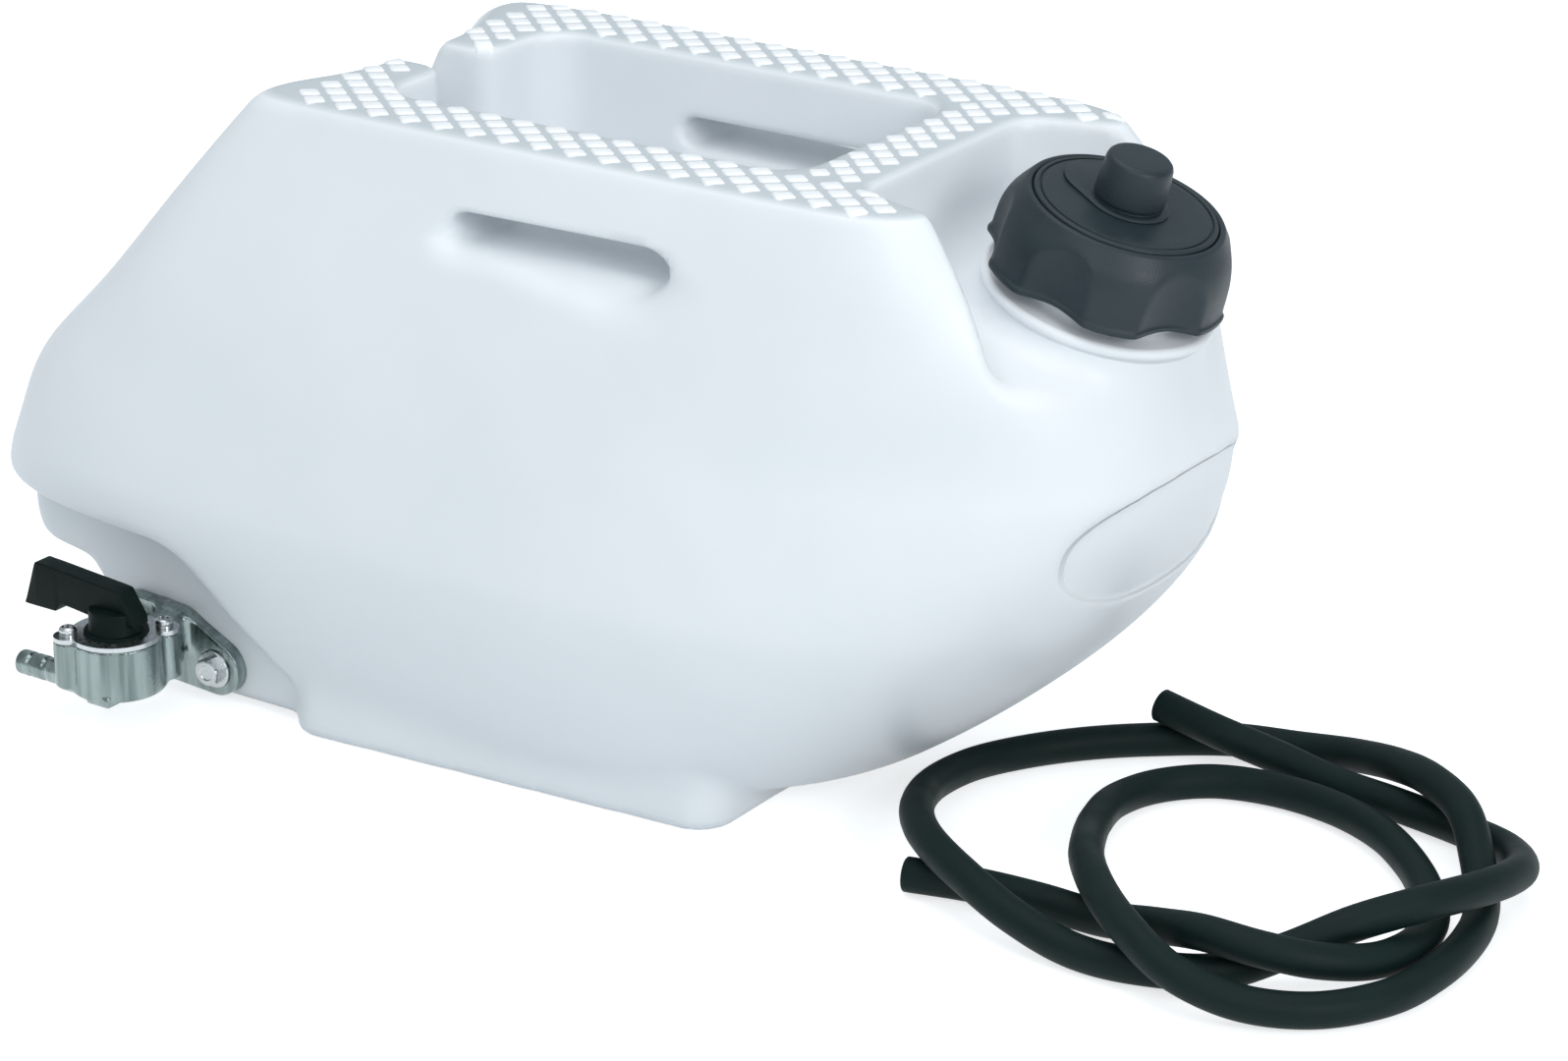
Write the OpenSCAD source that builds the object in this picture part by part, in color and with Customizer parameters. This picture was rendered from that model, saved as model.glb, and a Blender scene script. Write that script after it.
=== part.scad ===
// Rear auxiliary fuel tank for a motorcycle: a moulded white shell with an open well between
// two seat rails, a screw cap on a canted filler neck, a lever fuel valve and a loose hose.
// Millimetres, +Z up, the floor at z = 0, the nose towards -X and the filler neck towards +X.

/* [Tank shell] */
// Height of the seat rails above the floor
tank_h = 200; // [190:1:212]
// Thickness of the moulded wall
wall = 4; // [3:0.5:5]
// Reach of the nose in front of the origin
nose_x = 228; // [220:1:240]
// Height at which the nose reaches furthest
nose_z = 66; // [62:1:72]
// Amount by which the nose's middle is drawn back at the seat rails
nose_dish = 14; // [10:1:16]
// Swell of the nose over its widest level
nose_swell = 6; // [3:0.5:7]
// Reach of the tail behind the origin
tail_x = 172; // [168:1:178]
// Height at which the tail reaches furthest
tail_z = 118; // [112:1:122]
// Width across the belly
belly_w = 209; // [200:1:220]
// Height of the widest part of the belly
belly_z = 75; // [70:1:82]
// Reach of the seat rails in front of the origin
seat_front = 126; // [120:1:132]
// Reach of the seat rails behind the origin
seat_rear = 113; // [108:1:118]
// Width across the seat rails
seat_w = 134; // [128:1:140]
// Rounding of the seat rails' outer edge
seat_edge_r = 8; // [5:1:10]
// Reach of the belly's underside in front of the origin
base_front = 100; // [96:1:102]
// Reach of the belly's underside behind the origin
base_rear = 66; // [60:1:72]
// Width of the belly's underside
base_w = 160; // [152:1:168]

/* [Foot] */
// Reach of the foot in front of the origin
foot_front = 103; // [98:1:108]
// Reach of the foot behind the origin
foot_rear = 54; // [48:1:60]
// Width of the foot at its front end
foot_w_front = 176; // [170:1:180]
// Width of the foot at its rear end
foot_w_rear = 155; // [148:1:162]
// Height of the foot's sides
foot_h = 26; // [20:1:30]
// Rounding of the foot's corners seen from above
foot_r = 12; // [8:1:16]
// Reach of the keel that the valve bolts to
keel_front = 158; // [150:1:166]
// Height of the keel's underside above the floor
keel_z = 3; // [2:0.5:5]

/* [Well and hand slots] */
// Reach of the well in front of the origin
well_front = 91; // [86:1:94]
// Reach of the well behind the origin
well_rear = 60; // [56:1:62]
// Width of the well
well_w = 86; // [82:1:90]
// Depth of the well below the seat rails
well_depth = 74; // [64:1:84]
// Rounding of the well's corners
well_r = 14; // [10:1:18]
// Width of the gap between the two prongs
gap_w = 22; // [18:1:28]
// Depth of the gap below the seat rails
gap_depth = 58; // [50:1:64]
// Length of a hand slot
slot_len = 82; // [76:1:86]
// Height of a hand slot
slot_h = 14; // [13:0.5:16]
// Distance from the seat rails down to the middle of a hand slot
slot_drop = 25; // [23:1:27]
// Widening of a hand slot at the outer side
slot_flare = 3; // [2:0.5:4]

/* [Valve recess] */
// Width of the shell between the two recess walls
recess_w = 162; // [158:1:166]
// Height of the recess under the nose
recess_top = 62; // [58:1:64]
// Reach of the recess's rear end at half height
recess_rear = 121; // [116:1:124]
// Height of the notch under the nose
notch_z = 38; // [36:1:42]
// Reach of the notch's rear end
notch_rear = 186; // [182:1:190]
// Reach of the block that stands back under the nose
nose_block = 216; // [212:1:220]

/* [Filler neck] */
// Distance of the neck's lip behind the origin
neck_x = 137; // [135:1:140]
// Distance from the seat rails down to the neck's lip
neck_drop = 34; // [32:1:37]
// Cant of the neck towards the tail in degrees
neck_tilt = 17; // [14:1:19]
// Outer diameter of the neck below its lip
neck_d = 67; // [65:0.5:69]
// Radius of the rounded bead of the lip
lip_r = 1.8; // [1.4:0.1:2.4]
// Outer diameter of the threaded spout
spout_d = 54; // [52:0.5:55]
// Height of the spout above the lip
spout_h = 16; // [15:0.5:18]
// Bore of the spout
spout_bore = 47; // [44:0.5:48]
// Rise of the thread in one turn
thread_lead = 5; // [4.5:0.1:5.5]
// Radial height of the thread ridge
thread_h = 1.4; // [1.2:0.1:1.5]
// Width of the thread ridge at its root
thread_w = 1.7; // [1.4:0.1:1.8]
// Place of the scoop's upright back wall, behind the bar
scoop_x = 84; // [82:1:87]
// Width of the scoop at its back wall
scoop_w = 86; // [82:1:90]
// Run of each of the scoop's side walls outwards, for each length towards the tail
scoop_flare = 0.3; // [0.2:0.05:0.35]
// Corner radius of the scoop's back wall
scoop_r = 8; // [6:1:12]
// Depth of the scoop below the lip
scoop_d = 10; // [8:0.5:12]

/* [Cap] */
// Outer diameter of the cap's grip
cap_d = 72; // [71:0.5:74]
// Height of the cap's rim above the neck's lip
cap_lift = 4.2; // [3.8:0.1:4.4]
// Height of the cap's grip
cap_h = 23.5; // [23:0.5:26]
// Thickness of the top of the grip
cap_top = 5.5; // [4.5:0.5:6.5]
// Number of finger flutes round the cap
flute_n = 6; // [5:1:7]
// Radius of a finger flute
flute_r = 30; // [26:1:34]
// Depth of a finger flute
flute_d = 3.6; // [3:0.1:3.8]
// Wall of the threaded liner
liner_wall = 2; // [1.8:0.1:2.1]
// Thickness of the gasket on the spout's rim
gasket_t = 2; // [1.5:0.1:2.5]
// Diameter of the inset disc on the cap
disc_d = 55; // [54:0.5:57]
// Thickness of the inset disc
disc_t = 2.8; // [2.2:0.2:3.4]

/* [Vent] */
// Diameter of the vent knob at its foot
knob_d = 21; // [20.5:0.5:23]
// Diameter of the vent knob at its top
knob_top_d = 20; // [18:0.2:20.4]
// Height of the vent knob
knob_h = 15; // [13:0.5:16]
// Bore of the vent through the cap
vent_d = 5; // [4:0.5:6]

/* [Fuel valve] */
// Distance of the valve's axis in front of the origin
valve_x = 148.5; // [146:0.5:151]
// Distance of the valve's axis from the recess wall
valve_out = 31.5; // [30:0.5:34]
// Height of the valve's cover face above the floor
valve_top = 30.5; // [30:0.5:32]
// Height of the valve's body
valve_h = 17; // [16.5:0.5:17.5]
// Diameter of the valve's body
valve_d = 30.5; // [30:0.5:33]
// Height of the inlet and of the flange's middle
inlet_z = 18; // [17.5:0.1:18]
// Bore of the inlet
inlet_bore = 5.2; // [4.6:0.1:5.4]
// Distance between the two flange bolts
bolt_pitch = 34; // [32:0.5:36]
// Tilt of the flange in degrees, down towards the tail
flange_tilt = 15; // [10:1:18]
// Radius of the flange's ends
flange_r = 9.5; // [9:0.1:10.5]
// Thickness of the flange
flange_t = 5; // [4:0.5:6]
// Diameter of the flange bolts
bolt_d = 6; // [5:0.5:6]
// Width across the flats of the bolt heads
bolt_af = 8; // [7:0.5:8.5]
// Length of the threaded inserts
insert_len = 9; // [8:0.5:10]
// Wall of the threaded inserts
insert_wall = 1.5; // [1.2:0.1:1.8]
// Distance between the two cover screws
screw_pitch = 30; // [29.5:0.5:32]
// Bearing of the cover screws' line in degrees
screw_turn = 48; // [44:1:52]
// Diameter of the cover screws
screw_d = 3; // [2.5:0.1:3.5]
// Thickness of the cover plate
cover_t = 1.5; // [1.2:0.1:2]
// Diameter of the rotor's collar in the cover
collar_d = 20.4; // [19:0.2:21]
// Diameter of the rotor's disc
rotor_d = 24.4; // [24:0.1:25]
// Thickness of the rotor's disc
rotor_t = 3; // [2.8:0.1:3.3]
// Thickness of the rotor's seal
seal_t = 2.2; // [2:0.1:2.4]
// Distance of the ports from the valve's axis
port_out = 6.5; // [6:0.1:7]
// Diameter of the ports
port_d = 4; // [3.5:0.1:4.4]
// Length of the lever from its axis
lever_len = 35; // [32:0.5:38]
// Width of the lever
lever_w = 7; // [6:0.5:8]
// Height of the lever's blade
lever_h = 11; // [10:0.5:12]
// Rise of the lever towards its tip in degrees
lever_rise = 4.5; // [3:0.5:6]
// Outer diameter of the hose spigot
spigot_d = 8; // [7:0.1:8.2]
// Bore of the hose spigot
spigot_bore = 5; // [4:0.1:5.2]
// Length of the hose spigot
spigot_len = 18.5; // [16:0.5:20]
// Outer diameter of the fuel strainer inside the tank
strainer_d = 9; // [8:0.5:10]
// Length of the fuel strainer
strainer_len = 34; // [28:1:38]

/* [Hose] */
// Outer diameter of the fuel hose
hose_d = 10.5; // [8:0.5:10.5]

/* [Hidden] */
// Gap between pieces that are pressed or screwed together
fit_gap = 0.05;
// Radial gap of a piece that turns in another
run_gap = 0.08;
// Gap that keeps moving pieces apart
clear_gap = 0.5;
// Length by which a cut runs past a face
past = 1;
$fn = 48;

// Heights that go with the height of the seat rails
well_floor = tank_h - well_depth;
gap_floor = tank_h - gap_depth;
slot_z = tank_h - slot_drop;
neck_z = tank_h - neck_drop;
// Height at which the rear edge of a recess turns upright
recess_foot = 10;

// Shape of the shell's level sections: a squarer front, a rounder tail, nearly square at the rails
mid_x = -20;
belly_n = 6;
tail_n = 2.5;
seat_n = 10;
nose_up_p = 1.1;
nose_down_p = 2.9;
swell_z = 108;
swell_h = 20;
dish_w = 46;
tail_up_p = 1.35;
tail_down_p = 1.9;
side_up_p = 1.35;
side_down_p = 1.7;
shell_base = 3;
shell_points = 44;
shell_levels = 18;
edge_levels = 3;
// The wall is inset sideways by more than its thickness because the sides lean
cavity_inset = wall * 1.35;

// A value that leaves v0 at height z0 with an upright tangent and reaches v1 at height z1
function bow(z, z0, v0, z1, v1, p) = v0 + (v1 - v0) * pow(abs((z - z0) / (z1 - z0)), p);
function front_x(z) = nose_swell * exp(-pow((z - swell_z) / swell_h, 2))
    + (z > nose_z ? bow(z, nose_z, nose_x, tank_h, seat_front, nose_up_p)
    : bow(z, nose_z, nose_x, 0, base_front, nose_down_p));
// Reach of the nose's drawn-back middle, which steepens towards the rails
function dish_x(z) = seat_front - nose_dish + 0.34 * (tank_h - z) + 0.012 * pow(tank_h - z, 2);
function dish_in(z, y) = max(0, front_x(z) - dish_x(z)) * exp(-pow(y / dish_w, 8));
function rear_x(z) = z > tail_z ? bow(z, tail_z, tail_x, tank_h, seat_rear, tail_up_p)
    : bow(z, tail_z, tail_x, 0, base_rear, tail_down_p);
function half_w(z) = z > belly_z ? bow(z, belly_z, belly_w / 2, tank_h, seat_w / 2, side_up_p)
    : bow(z, belly_z, belly_w / 2, 0, base_w / 2, side_down_p);
function front_n(z) = z > nose_z ? bow(z, nose_z, belly_n, tank_h, seat_n, 1) : belly_n;
function rear_n(z) = z > tail_z ? bow(z, tail_z, tail_n, tank_h, seat_n, 2) : tail_n;
// Signed power, the step from a circle to a superellipse
function spow(v, p) = sign(v) * pow(abs(v), p);
// Inset that rounds the top edge of the seat rails
function edge_in(z) = z > tank_h - seat_edge_r
    ? seat_edge_r - sqrt(max(0, seat_edge_r ^ 2 - (z - tank_h + seat_edge_r) ^ 2)) : 0;
// One level section of the shell, inset sideways
function section(z, inset) = [for (i = [0 : shell_points - 1])
    let (a = 360 * (i + 0.5) / shell_points, n = cos(a) < 0 ? front_n(z) : rear_n(z),
        y = (half_w(z) - inset) * spow(sin(a), 2 / n),
        l = cos(a) < 0 ? front_x(z) - dish_in(z, y) + mid_x : rear_x(z) - mid_x)
    [mid_x + (l - inset) * spow(cos(a), 2 / n), y, z]];

// A closed skin over a row of rings that all have the same number of points
module skin(rings) {
    n = len(rings[0]);
    m = len(rings);
    sides = [for (k = [0 : m - 2]) for (i = [0 : n - 1])
        let (a = k * n + i, b = k * n + (i + 1) % n) each [[a, a + n, b + n], [a, b + n, b]]];
    ends = [[for (i = [0 : n - 1]) i], [for (i = [n - 1 : -1 : 0]) (m - 1) * n + i]];
    polyhedron(points = [for (r = rings) each r], faces = concat(sides, ends), convexity = 8);
}

// A profile of [radius, height] points carried round the Z axis on a helix
module helix(profile, turns, lead, steps) {
    skin([for (k = [0 : ceil(turns * steps)])
        let (a = min(k / steps, turns) * 360)
        [for (p = profile) [p[0] * cos(a), p[0] * sin(a), p[1] + lead * a / 360]]]);
}

// Places a piece on the canted neck, with its origin in the middle of the lip
module on_neck() {
    translate([neck_x, 0, neck_z]) rotate([0, neck_tilt, 0]) children();
}

// Full outer form of the belly without its hollows
module belly_form() {
    low = tank_h - seat_edge_r;
    skin(concat(
        [for (k = [0 : shell_levels]) section(shell_base + (low - shell_base) * k / shell_levels, 0)],
        [for (k = [1 : edge_levels])
            let (z = low + seat_edge_r * sin(90 * k / edge_levels)) section(z, edge_in(z))]));
}

module foot_form() {
    hull() for (end = [[-foot_front + foot_r, foot_w_front], [foot_rear - foot_r, foot_w_rear]])
        for (side = [-1, 1]) translate([end[0], side * (end[1] / 2 - foot_r), 0])
            cylinder(r = foot_r, h = foot_h, $fn = 24);
}

// Keel under the nose that the valve's flange seats on
module keel_form() {
    keel_h = recess_top - keel_z;
    hull() for (x = [-keel_front + foot_r, -foot_front])
        for (side = [-1, 1]) translate([x, side * (recess_w / 2 - foot_r / 2), keel_z])
            cylinder(r = foot_r / 2, h = keel_h / 2, $fn = 24);
}

module well_form(grow) {
    r = well_r + grow;
    hull() for (x = [-well_front + well_r, well_rear - well_r]) for (side = [-1, 1])
        translate([x, side * (well_w / 2 - well_r), well_floor - grow])
            cylinder(r = r, h = tank_h - well_floor + grow + past, $fn = 24);
}

module gap_form(grow) {
    hull() for (x = [-well_front + well_r, -nose_x]) for (side = [-1, 1])
        translate([x, side * (gap_w / 2 - foot_r / 3), gap_floor - grow])
            cylinder(r = foot_r / 3 + grow, h = tank_h - gap_floor + grow + past, $fn = 12);
}

// Hand slots through both rails, wider at the outer side
module slot_forms(grow) {
    r = slot_h / 2 + grow;
    out = belly_w / 2 + past;
    for (side = [-1, 1]) {
        hull() for (end = [-1, 1])
            translate([end * (slot_len - slot_h) / 2, 0, slot_z]) rotate([-90 * side, 0, 0])
                translate([0, 0, well_w / 2 - well_r]) cylinder(r = r, h = out, $fn = 24);
        hull() for (end = [-1, 1])
            translate([end * (slot_len - slot_h) / 2, 0, slot_z]) rotate([-90 * side, 0, 0])
                translate([0, 0, seat_w / 2 - 2 * slot_flare])
                    cylinder(r1 = r, r2 = r + 2 * slot_flare, h = 5 * slot_flare, $fn = 24);
    }
}

// Scoop between the rails, round the neck: upright walls over a floor square to the neck
module scoop_form(grow) {
    run = tail_x - scoop_x;
    intersection() {
        on_neck() translate([-tank_h, -tank_h, -scoop_d - grow]) cube([2 * tank_h, 2 * tank_h, tank_h]);
        hull() for (side = [-1, 1]) {
            translate([scoop_x + scoop_r, side * (scoop_w / 2 - scoop_r), 0])
                cylinder(r = scoop_r + grow, h = 2 * tank_h, $fn = 24);
            translate([scoop_x + run, side * (scoop_w / 2 - scoop_r + run * scoop_flare), 0])
                cylinder(r = scoop_r + grow, h = 2 * tank_h, $fn = 24);
        }
    }
}

// Recesses under the nose on both sides, seen from the side as one outline
module recess_forms(grow) {
    rear = -recess_rear + grow;
    top = recess_top + grow;
    out = belly_w;
    for (side = [-1, 1]) translate([0, side * (recess_w / 2 - grow), 0])
        rotate([90, 0, 0]) mirror([0, 0, side > 0 ? 1 : 0]) linear_extrude(out)
            polygon([[-2 * nose_x, -past], [-2 * nose_x, top + 4], [-nose_x + 30, top + 2],
                [rear - 24, top - 2], [rear - 10, top - 6], [rear - 3, top - 13],
                [rear + 2, top - 24], [rear + 20, recess_foot + grow], [rear + 24, -past]]);
}

// Set-back front of the nose's block, and the notch under it
module notch_form(grow) {
    rear = -notch_rear + grow;
    top = notch_z + grow;
    block = -nose_block + grow;
    lip = recess_top + grow;
    translate([0, belly_w, 0]) rotate([90, 0, 0]) linear_extrude(2 * belly_w)
        polygon([[-2 * nose_x, -past], [-2 * nose_x, lip + 5], [block, lip + 2.6],
            [block + 0.6, top + 7], [block + 6, top + 2], [rear - 8, top - 2], [rear - 2, top - 6],
            [rear + 2, top - 12], [rear + 14, -past]]);
}

// Round form of the neck with its lip, and the threaded spout on it
spout_base = lip_r;
spout_top = spout_base + spout_h;
neck_root = 44;
thread_start = spout_base + 4;
thread_turns = 2;
thread_sink = 0.6;
thread_steps = 24;
module neck_form() {
    on_neck() {
        translate([0, 0, -neck_root]) cylinder(d = neck_d, h = neck_root + spout_base);
        rotate_extrude() translate([neck_d / 2, 0]) circle(lip_r, $fn = 16);
        cylinder(d = spout_d, h = spout_top);
        translate([0, 0, thread_start]) thread_ridge(spout_d / 2, 1);
    }
}

// A screw ridge that stands out of a wall of radius r, or into its bore where out is -1
module thread_ridge(r, out) {
    root = [[r - out * thread_sink, -thread_w / 2], [r - out * thread_sink, thread_w / 2]];
    crest = [[r + out * thread_h, thread_w / 4], [r + out * thread_h, -thread_w / 4]];
    pts = concat(root, crest);
    helix(out > 0 ? pts : [for (i = [3 : -1 : 0]) pts[i]], thread_turns, thread_lead, thread_steps);
}

// Fuel space: the belly's form set in by the wall, less every hollow grown by the wall
module fuel_space() {
    low = shell_base + wall;
    high = tank_h - wall;
    levels = shell_levels - 4;
    difference() {
        skin([for (k = [0 : levels]) let (z = low + (high - low) * k / levels)
            section(z, cavity_inset + edge_in(min(z + wall, tank_h)))]);
        well_form(wall);
        gap_form(wall);
        slot_forms(wall);
        scoop_form(wall);
        recess_forms(wall);
        notch_form(wall);
    }
    on_neck() translate([0, 0, -neck_root / 2])
        cylinder(d = neck_d - 2 * wall, h = neck_root / 2 + spout_base - wall);
    on_neck() translate([0, 0, -neck_root / 2])
        cylinder(d = spout_bore, h = neck_root + spout_top);
}

// The valve's flange seats on the recess wall on the -Y side
seat_y = -recess_w / 2;
bolt_r = bolt_d / 2;
insert_r = bolt_r + insert_wall;
inlet_tube_r = inlet_bore / 2 + 0.8;
inlet_tube_in = 14;
sump_r = strainer_d / 2 + 2;
sump_len = strainer_len + 12;
module at_flange() {
    translate([-valve_x, seat_y, inlet_z]) rotate([90, 0, 0]) rotate([0, 0, -flange_tilt]) children();
}
module at_bolts() {
    at_flange() for (side = [-1, 1]) translate([side * bolt_pitch / 2, 0, 0]) children();
}

module tank_shell() {
    color("whitesmoke") difference() {
        union() {
            difference() {
                union() {
                    difference() {
                        belly_form();
                        recess_forms(0);
                        notch_form(0);
                    }
                    foot_form();
                    keel_form();
                }
                well_form(0);
                gap_form(0);
                slot_forms(0);
                scoop_form(0);
            }
            neck_form();
        }
        fuel_space();
        at_flange() translate([0, 0, -sump_len]) cylinder(r = sump_r, h = sump_len - wall, $fn = 24);
        at_flange() translate([0, 0, -sump_len])
            cylinder(r = inlet_tube_r + fit_gap, h = sump_len + past, $fn = 24);
        at_bolts() translate([0, 0, -insert_len - fit_gap])
            cylinder(r = insert_r + fit_gap, h = insert_len + past, $fn = 32);
    }
}

module threaded_inserts() {
    color("goldenrod") at_bolts() translate([0, 0, -insert_len]) difference() {
        cylinder(r = insert_r, h = insert_len);
        translate([0, 0, -past]) cylinder(r = bolt_r, h = insert_len + 2 * past);
    }
}

// Heights along the neck's axis, measured from the middle of the lip
cap_rim = spout_base + cap_lift;
cap_crown = cap_rim + cap_h;
gasket_z = spout_top + fit_gap;
liner_ceiling = gasket_z + gasket_t + fit_gap;
liner_bore_r = spout_d / 2 + thread_h + clear_gap;
liner_r = liner_bore_r + liner_wall;
liner_rim = cap_rim + 0.6;
grip_ceiling = cap_crown - cap_top;
disc_seat = cap_crown - 2.2;
disc_top = disc_seat + disc_t;
disc_r = disc_d / 2;
vent_r = vent_d / 2;
boss_r = 9;

module cap_grip() {
    r = cap_d / 2;
    bore = liner_r + fit_gap;
    seat_r = disc_r + 4 * fit_gap;
    crown_r = seat_r + 1.6;
    color("#2d383e") on_neck() difference() {
        rotate_extrude() polygon([[vent_r, grip_ceiling], [bore, grip_ceiling], [bore, cap_rim],
            [r + 0.6, cap_rim], [r + 0.6, cap_rim + 2], [r, cap_rim + 2.8], [r - 0.4, cap_rim + 12],
            [r - 1.6, cap_rim + 17], [r - 3.4, cap_crown - 4], [crown_r + 1.6, cap_crown - 1.2],
            [crown_r, cap_crown], [seat_r, cap_crown], [seat_r, disc_seat], [vent_r, disc_seat]]);
        for (k = [0 : flute_n - 1]) rotate([0, 0, 360 * k / flute_n - 86])
            translate([r + flute_r - flute_d, 0, cap_rim - past])
                cylinder(r = flute_r, h = cap_h + 2 * past, $fn = 96);
    }
}

module cap_liner() {
    color("dimgray") on_neck() {
        rotate_extrude() polygon([[vent_r, liner_ceiling], [liner_bore_r, liner_ceiling],
            [liner_bore_r, liner_rim], [liner_r, liner_rim], [liner_r, liner_ceiling + liner_wall],
            [boss_r, liner_ceiling + liner_wall], [boss_r, grip_ceiling - fit_gap],
            [vent_r, grip_ceiling - fit_gap]]);
        translate([0, 0, thread_start + thread_lead / 2]) thread_ridge(liner_bore_r, -1);
    }
}

module cap_gasket() {
    color("black") on_neck() translate([0, 0, gasket_z]) difference() {
        cylinder(r = spout_d / 2, h = gasket_t);
        translate([0, 0, -past]) cylinder(d = spout_bore + 2, h = gasket_t + 2 * past);
    }
}

module cap_disc() {
    color("#34424a") on_neck() translate([0, 0, disc_seat + fit_gap]) difference() {
        union() {
            cylinder(r = disc_r, h = disc_t - 0.6 - fit_gap);
            cylinder(r = disc_r - 0.8, h = disc_t - fit_gap);
        }
        translate([0, 0, -past]) cylinder(r = vent_r, h = disc_t + 2 * past);
    }
}

knob_wall = 3;
module knob_profile(grow) {
    polygon([[0, -grow], [knob_d / 2, -grow], [knob_d / 2, 0], [knob_top_d / 2, knob_h - 1.5],
        [knob_top_d / 2 - 1.5, knob_h], [0, knob_h]]);
}
module vent_knob() {
    color("#2a3439") on_neck() translate([0, 0, disc_top + fit_gap]) difference() {
        rotate_extrude() knob_profile(0);
        translate([0, 0, -past]) cylinder(d = knob_top_d - 2 * knob_wall, h = knob_h - knob_wall + past);
    }
}

// Umbrella valve: a stem pressed in the vent's bore and a soft head over the disc
valve_head_r = knob_top_d / 2 - knob_wall - 1;
module vent_valve() {
    color("black") on_neck() {
        translate([0, 0, liner_ceiling + fit_gap])
            cylinder(r = vent_r - fit_gap, h = disc_top - liner_ceiling);
        translate([0, 0, disc_top + fit_gap]) cylinder(r1 = valve_head_r, r2 = vent_r, h = 2.4);
    }
}

// The valve's frame: its axis stands upright, clear of the recess wall
axis_y = seat_y - valve_out;
valve_base = valve_top - valve_h;
chamber_r = rotor_d / 2 + 0.3;
chamber_floor = valve_top - 9;
seal_top = chamber_floor + seal_t;
rotor_base = seal_top + fit_gap;
rotor_top = rotor_base + rotor_t;
cover_top = valve_top + fit_gap + cover_t;
boss_out = 5;
spigot_y = axis_y - port_out;
spigot_z = valve_base + spigot_bore / 2 - 0.3;
port_sink = 0.6;
spigot_root = valve_d / 2 + 1;
module at_valve() {
    translate([-valve_x, axis_y, 0]) children();
}
module at_screws() {
    at_valve() rotate([0, 0, screw_turn]) for (side = [-1, 1])
        translate([side * screw_pitch / 2, 0, 0]) children();
}

module petcock_body() {
    neck_len = valve_out - flange_t + 1;
    waist_w = 2 * flange_r - 1;
    color("silver") difference() {
        union() {
            at_valve() translate([0, 0, valve_base]) cylinder(d = valve_d, h = valve_h);
            at_screws() translate([0, 0, valve_base + 2]) cylinder(r = boss_out, h = valve_h - 2.3);
            at_flange() {
                translate([-bolt_pitch / 2, -waist_w / 2, 0]) cube([bolt_pitch, waist_w, flange_t]);
                for (side = [-1, 1]) translate([side * bolt_pitch / 2, 0, 0])
                    cylinder(r = flange_r, h = flange_t);
            }
            translate([-valve_x, seat_y, inlet_z]) rotate([90, 0, 0])
                cylinder(r = inlet_bore / 2 + 2.6, h = valve_out);
            translate([-valve_x - 6, axis_y, inlet_z]) cube([12, neck_len, valve_top - inlet_z - 1]);
            translate([-valve_x - spigot_root, spigot_y, spigot_z]) rotate([0, -90, 0]) spigot_form();
            translate([-valve_x, spigot_y, spigot_z]) rotate([0, -90, 0])
                cylinder(d = spigot_d + 2, h = spigot_root);
            at_valve() translate([-1, -valve_d / 2 + 1, valve_base - 1.3]) cube([9, 6, 3]);
        }
        at_valve() translate([0, 0, chamber_floor]) cylinder(r = chamber_r, h = valve_h);
        at_valve() translate([0, port_out, inlet_z - port_sink]) cylinder(d = port_d, h = valve_h);
        at_valve() translate([0, -port_out, spigot_z - port_sink]) cylinder(d = port_d, h = valve_h);
        translate([-valve_x, seat_y + past, inlet_z]) rotate([90, 0, 0])
            cylinder(d = inlet_bore, h = valve_out - port_out + past + port_sink);
        translate([-valve_x + port_sink, spigot_y, spigot_z]) rotate([0, -90, 0])
            cylinder(d = spigot_bore, h = port_sink + spigot_root + spigot_len + past);
        translate([-valve_x, seat_y + past, inlet_z]) rotate([90, 0, 0])
            cylinder(r = inlet_tube_r + fit_gap, h = inlet_tube_out + past);
        at_flange() translate([0, 0, -past]) difference() {
            cylinder(r = o_ring_mid + o_ring_r, h = o_ring_r * 2 + fit_gap + past);
            translate([0, 0, -past]) cylinder(r = o_ring_mid - o_ring_r, h = 3 * past + o_ring_r * 2);
        }
        at_bolts() translate([0, 0, -past]) cylinder(r = bolt_r + 0.2, h = flange_t + 2 * past);
        at_screws() translate([0, 0, valve_top - screw_in]) cylinder(d = screw_d, h = screw_in + past);
    }
}

// Spigot with two shallow grooves that grip the hose
groove_w = 1.4;
groove_d = 0.5;
module spigot_form() {
    difference() {
        cylinder(d = spigot_d, h = spigot_len);
        for (k = [1, 2]) translate([0, 0, spigot_len * k / 3]) difference() {
            cylinder(d = spigot_d + 2, h = groove_w);
            translate([0, 0, -past]) cylinder(r = spigot_d / 2 - groove_d, h = groove_w + 2 * past);
        }
    }
}

o_ring_r = 1;
o_ring_mid = inlet_tube_r + 1.8;
module flange_o_ring() {
    color("black") at_flange() translate([0, 0, o_ring_r]) rotate_extrude()
        translate([o_ring_mid, 0]) circle(o_ring_r - fit_gap);
}

head_t = 4.4;
collar_t = 1.2;
module flange_bolts() {
    shank = bolt_r - fit_gap;
    color("gainsboro") at_bolts() translate([0, 0, flange_t + fit_gap]) {
        translate([0, 0, -flange_t - insert_len + 1]) cylinder(r = shank, h = flange_t + insert_len);
        cylinder(d = bolt_af * 1.55, h = collar_t);
        translate([0, 0, collar_t]) cylinder(d = bolt_af / cos(30), h = head_t - collar_t, $fn = 6);
    }
}

inlet_tube_out = 8;
module inlet_tube() {
    color("goldenrod") translate([-valve_x, seat_y + inlet_tube_in, inlet_z]) rotate([90, 0, 0])
        difference() {
            cylinder(r = inlet_tube_r, h = inlet_tube_in + inlet_tube_out - fit_gap);
            translate([0, 0, -past])
                cylinder(d = inlet_bore - 0.4, h = inlet_tube_in + inlet_tube_out + 2 * past);
        }
}

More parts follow.
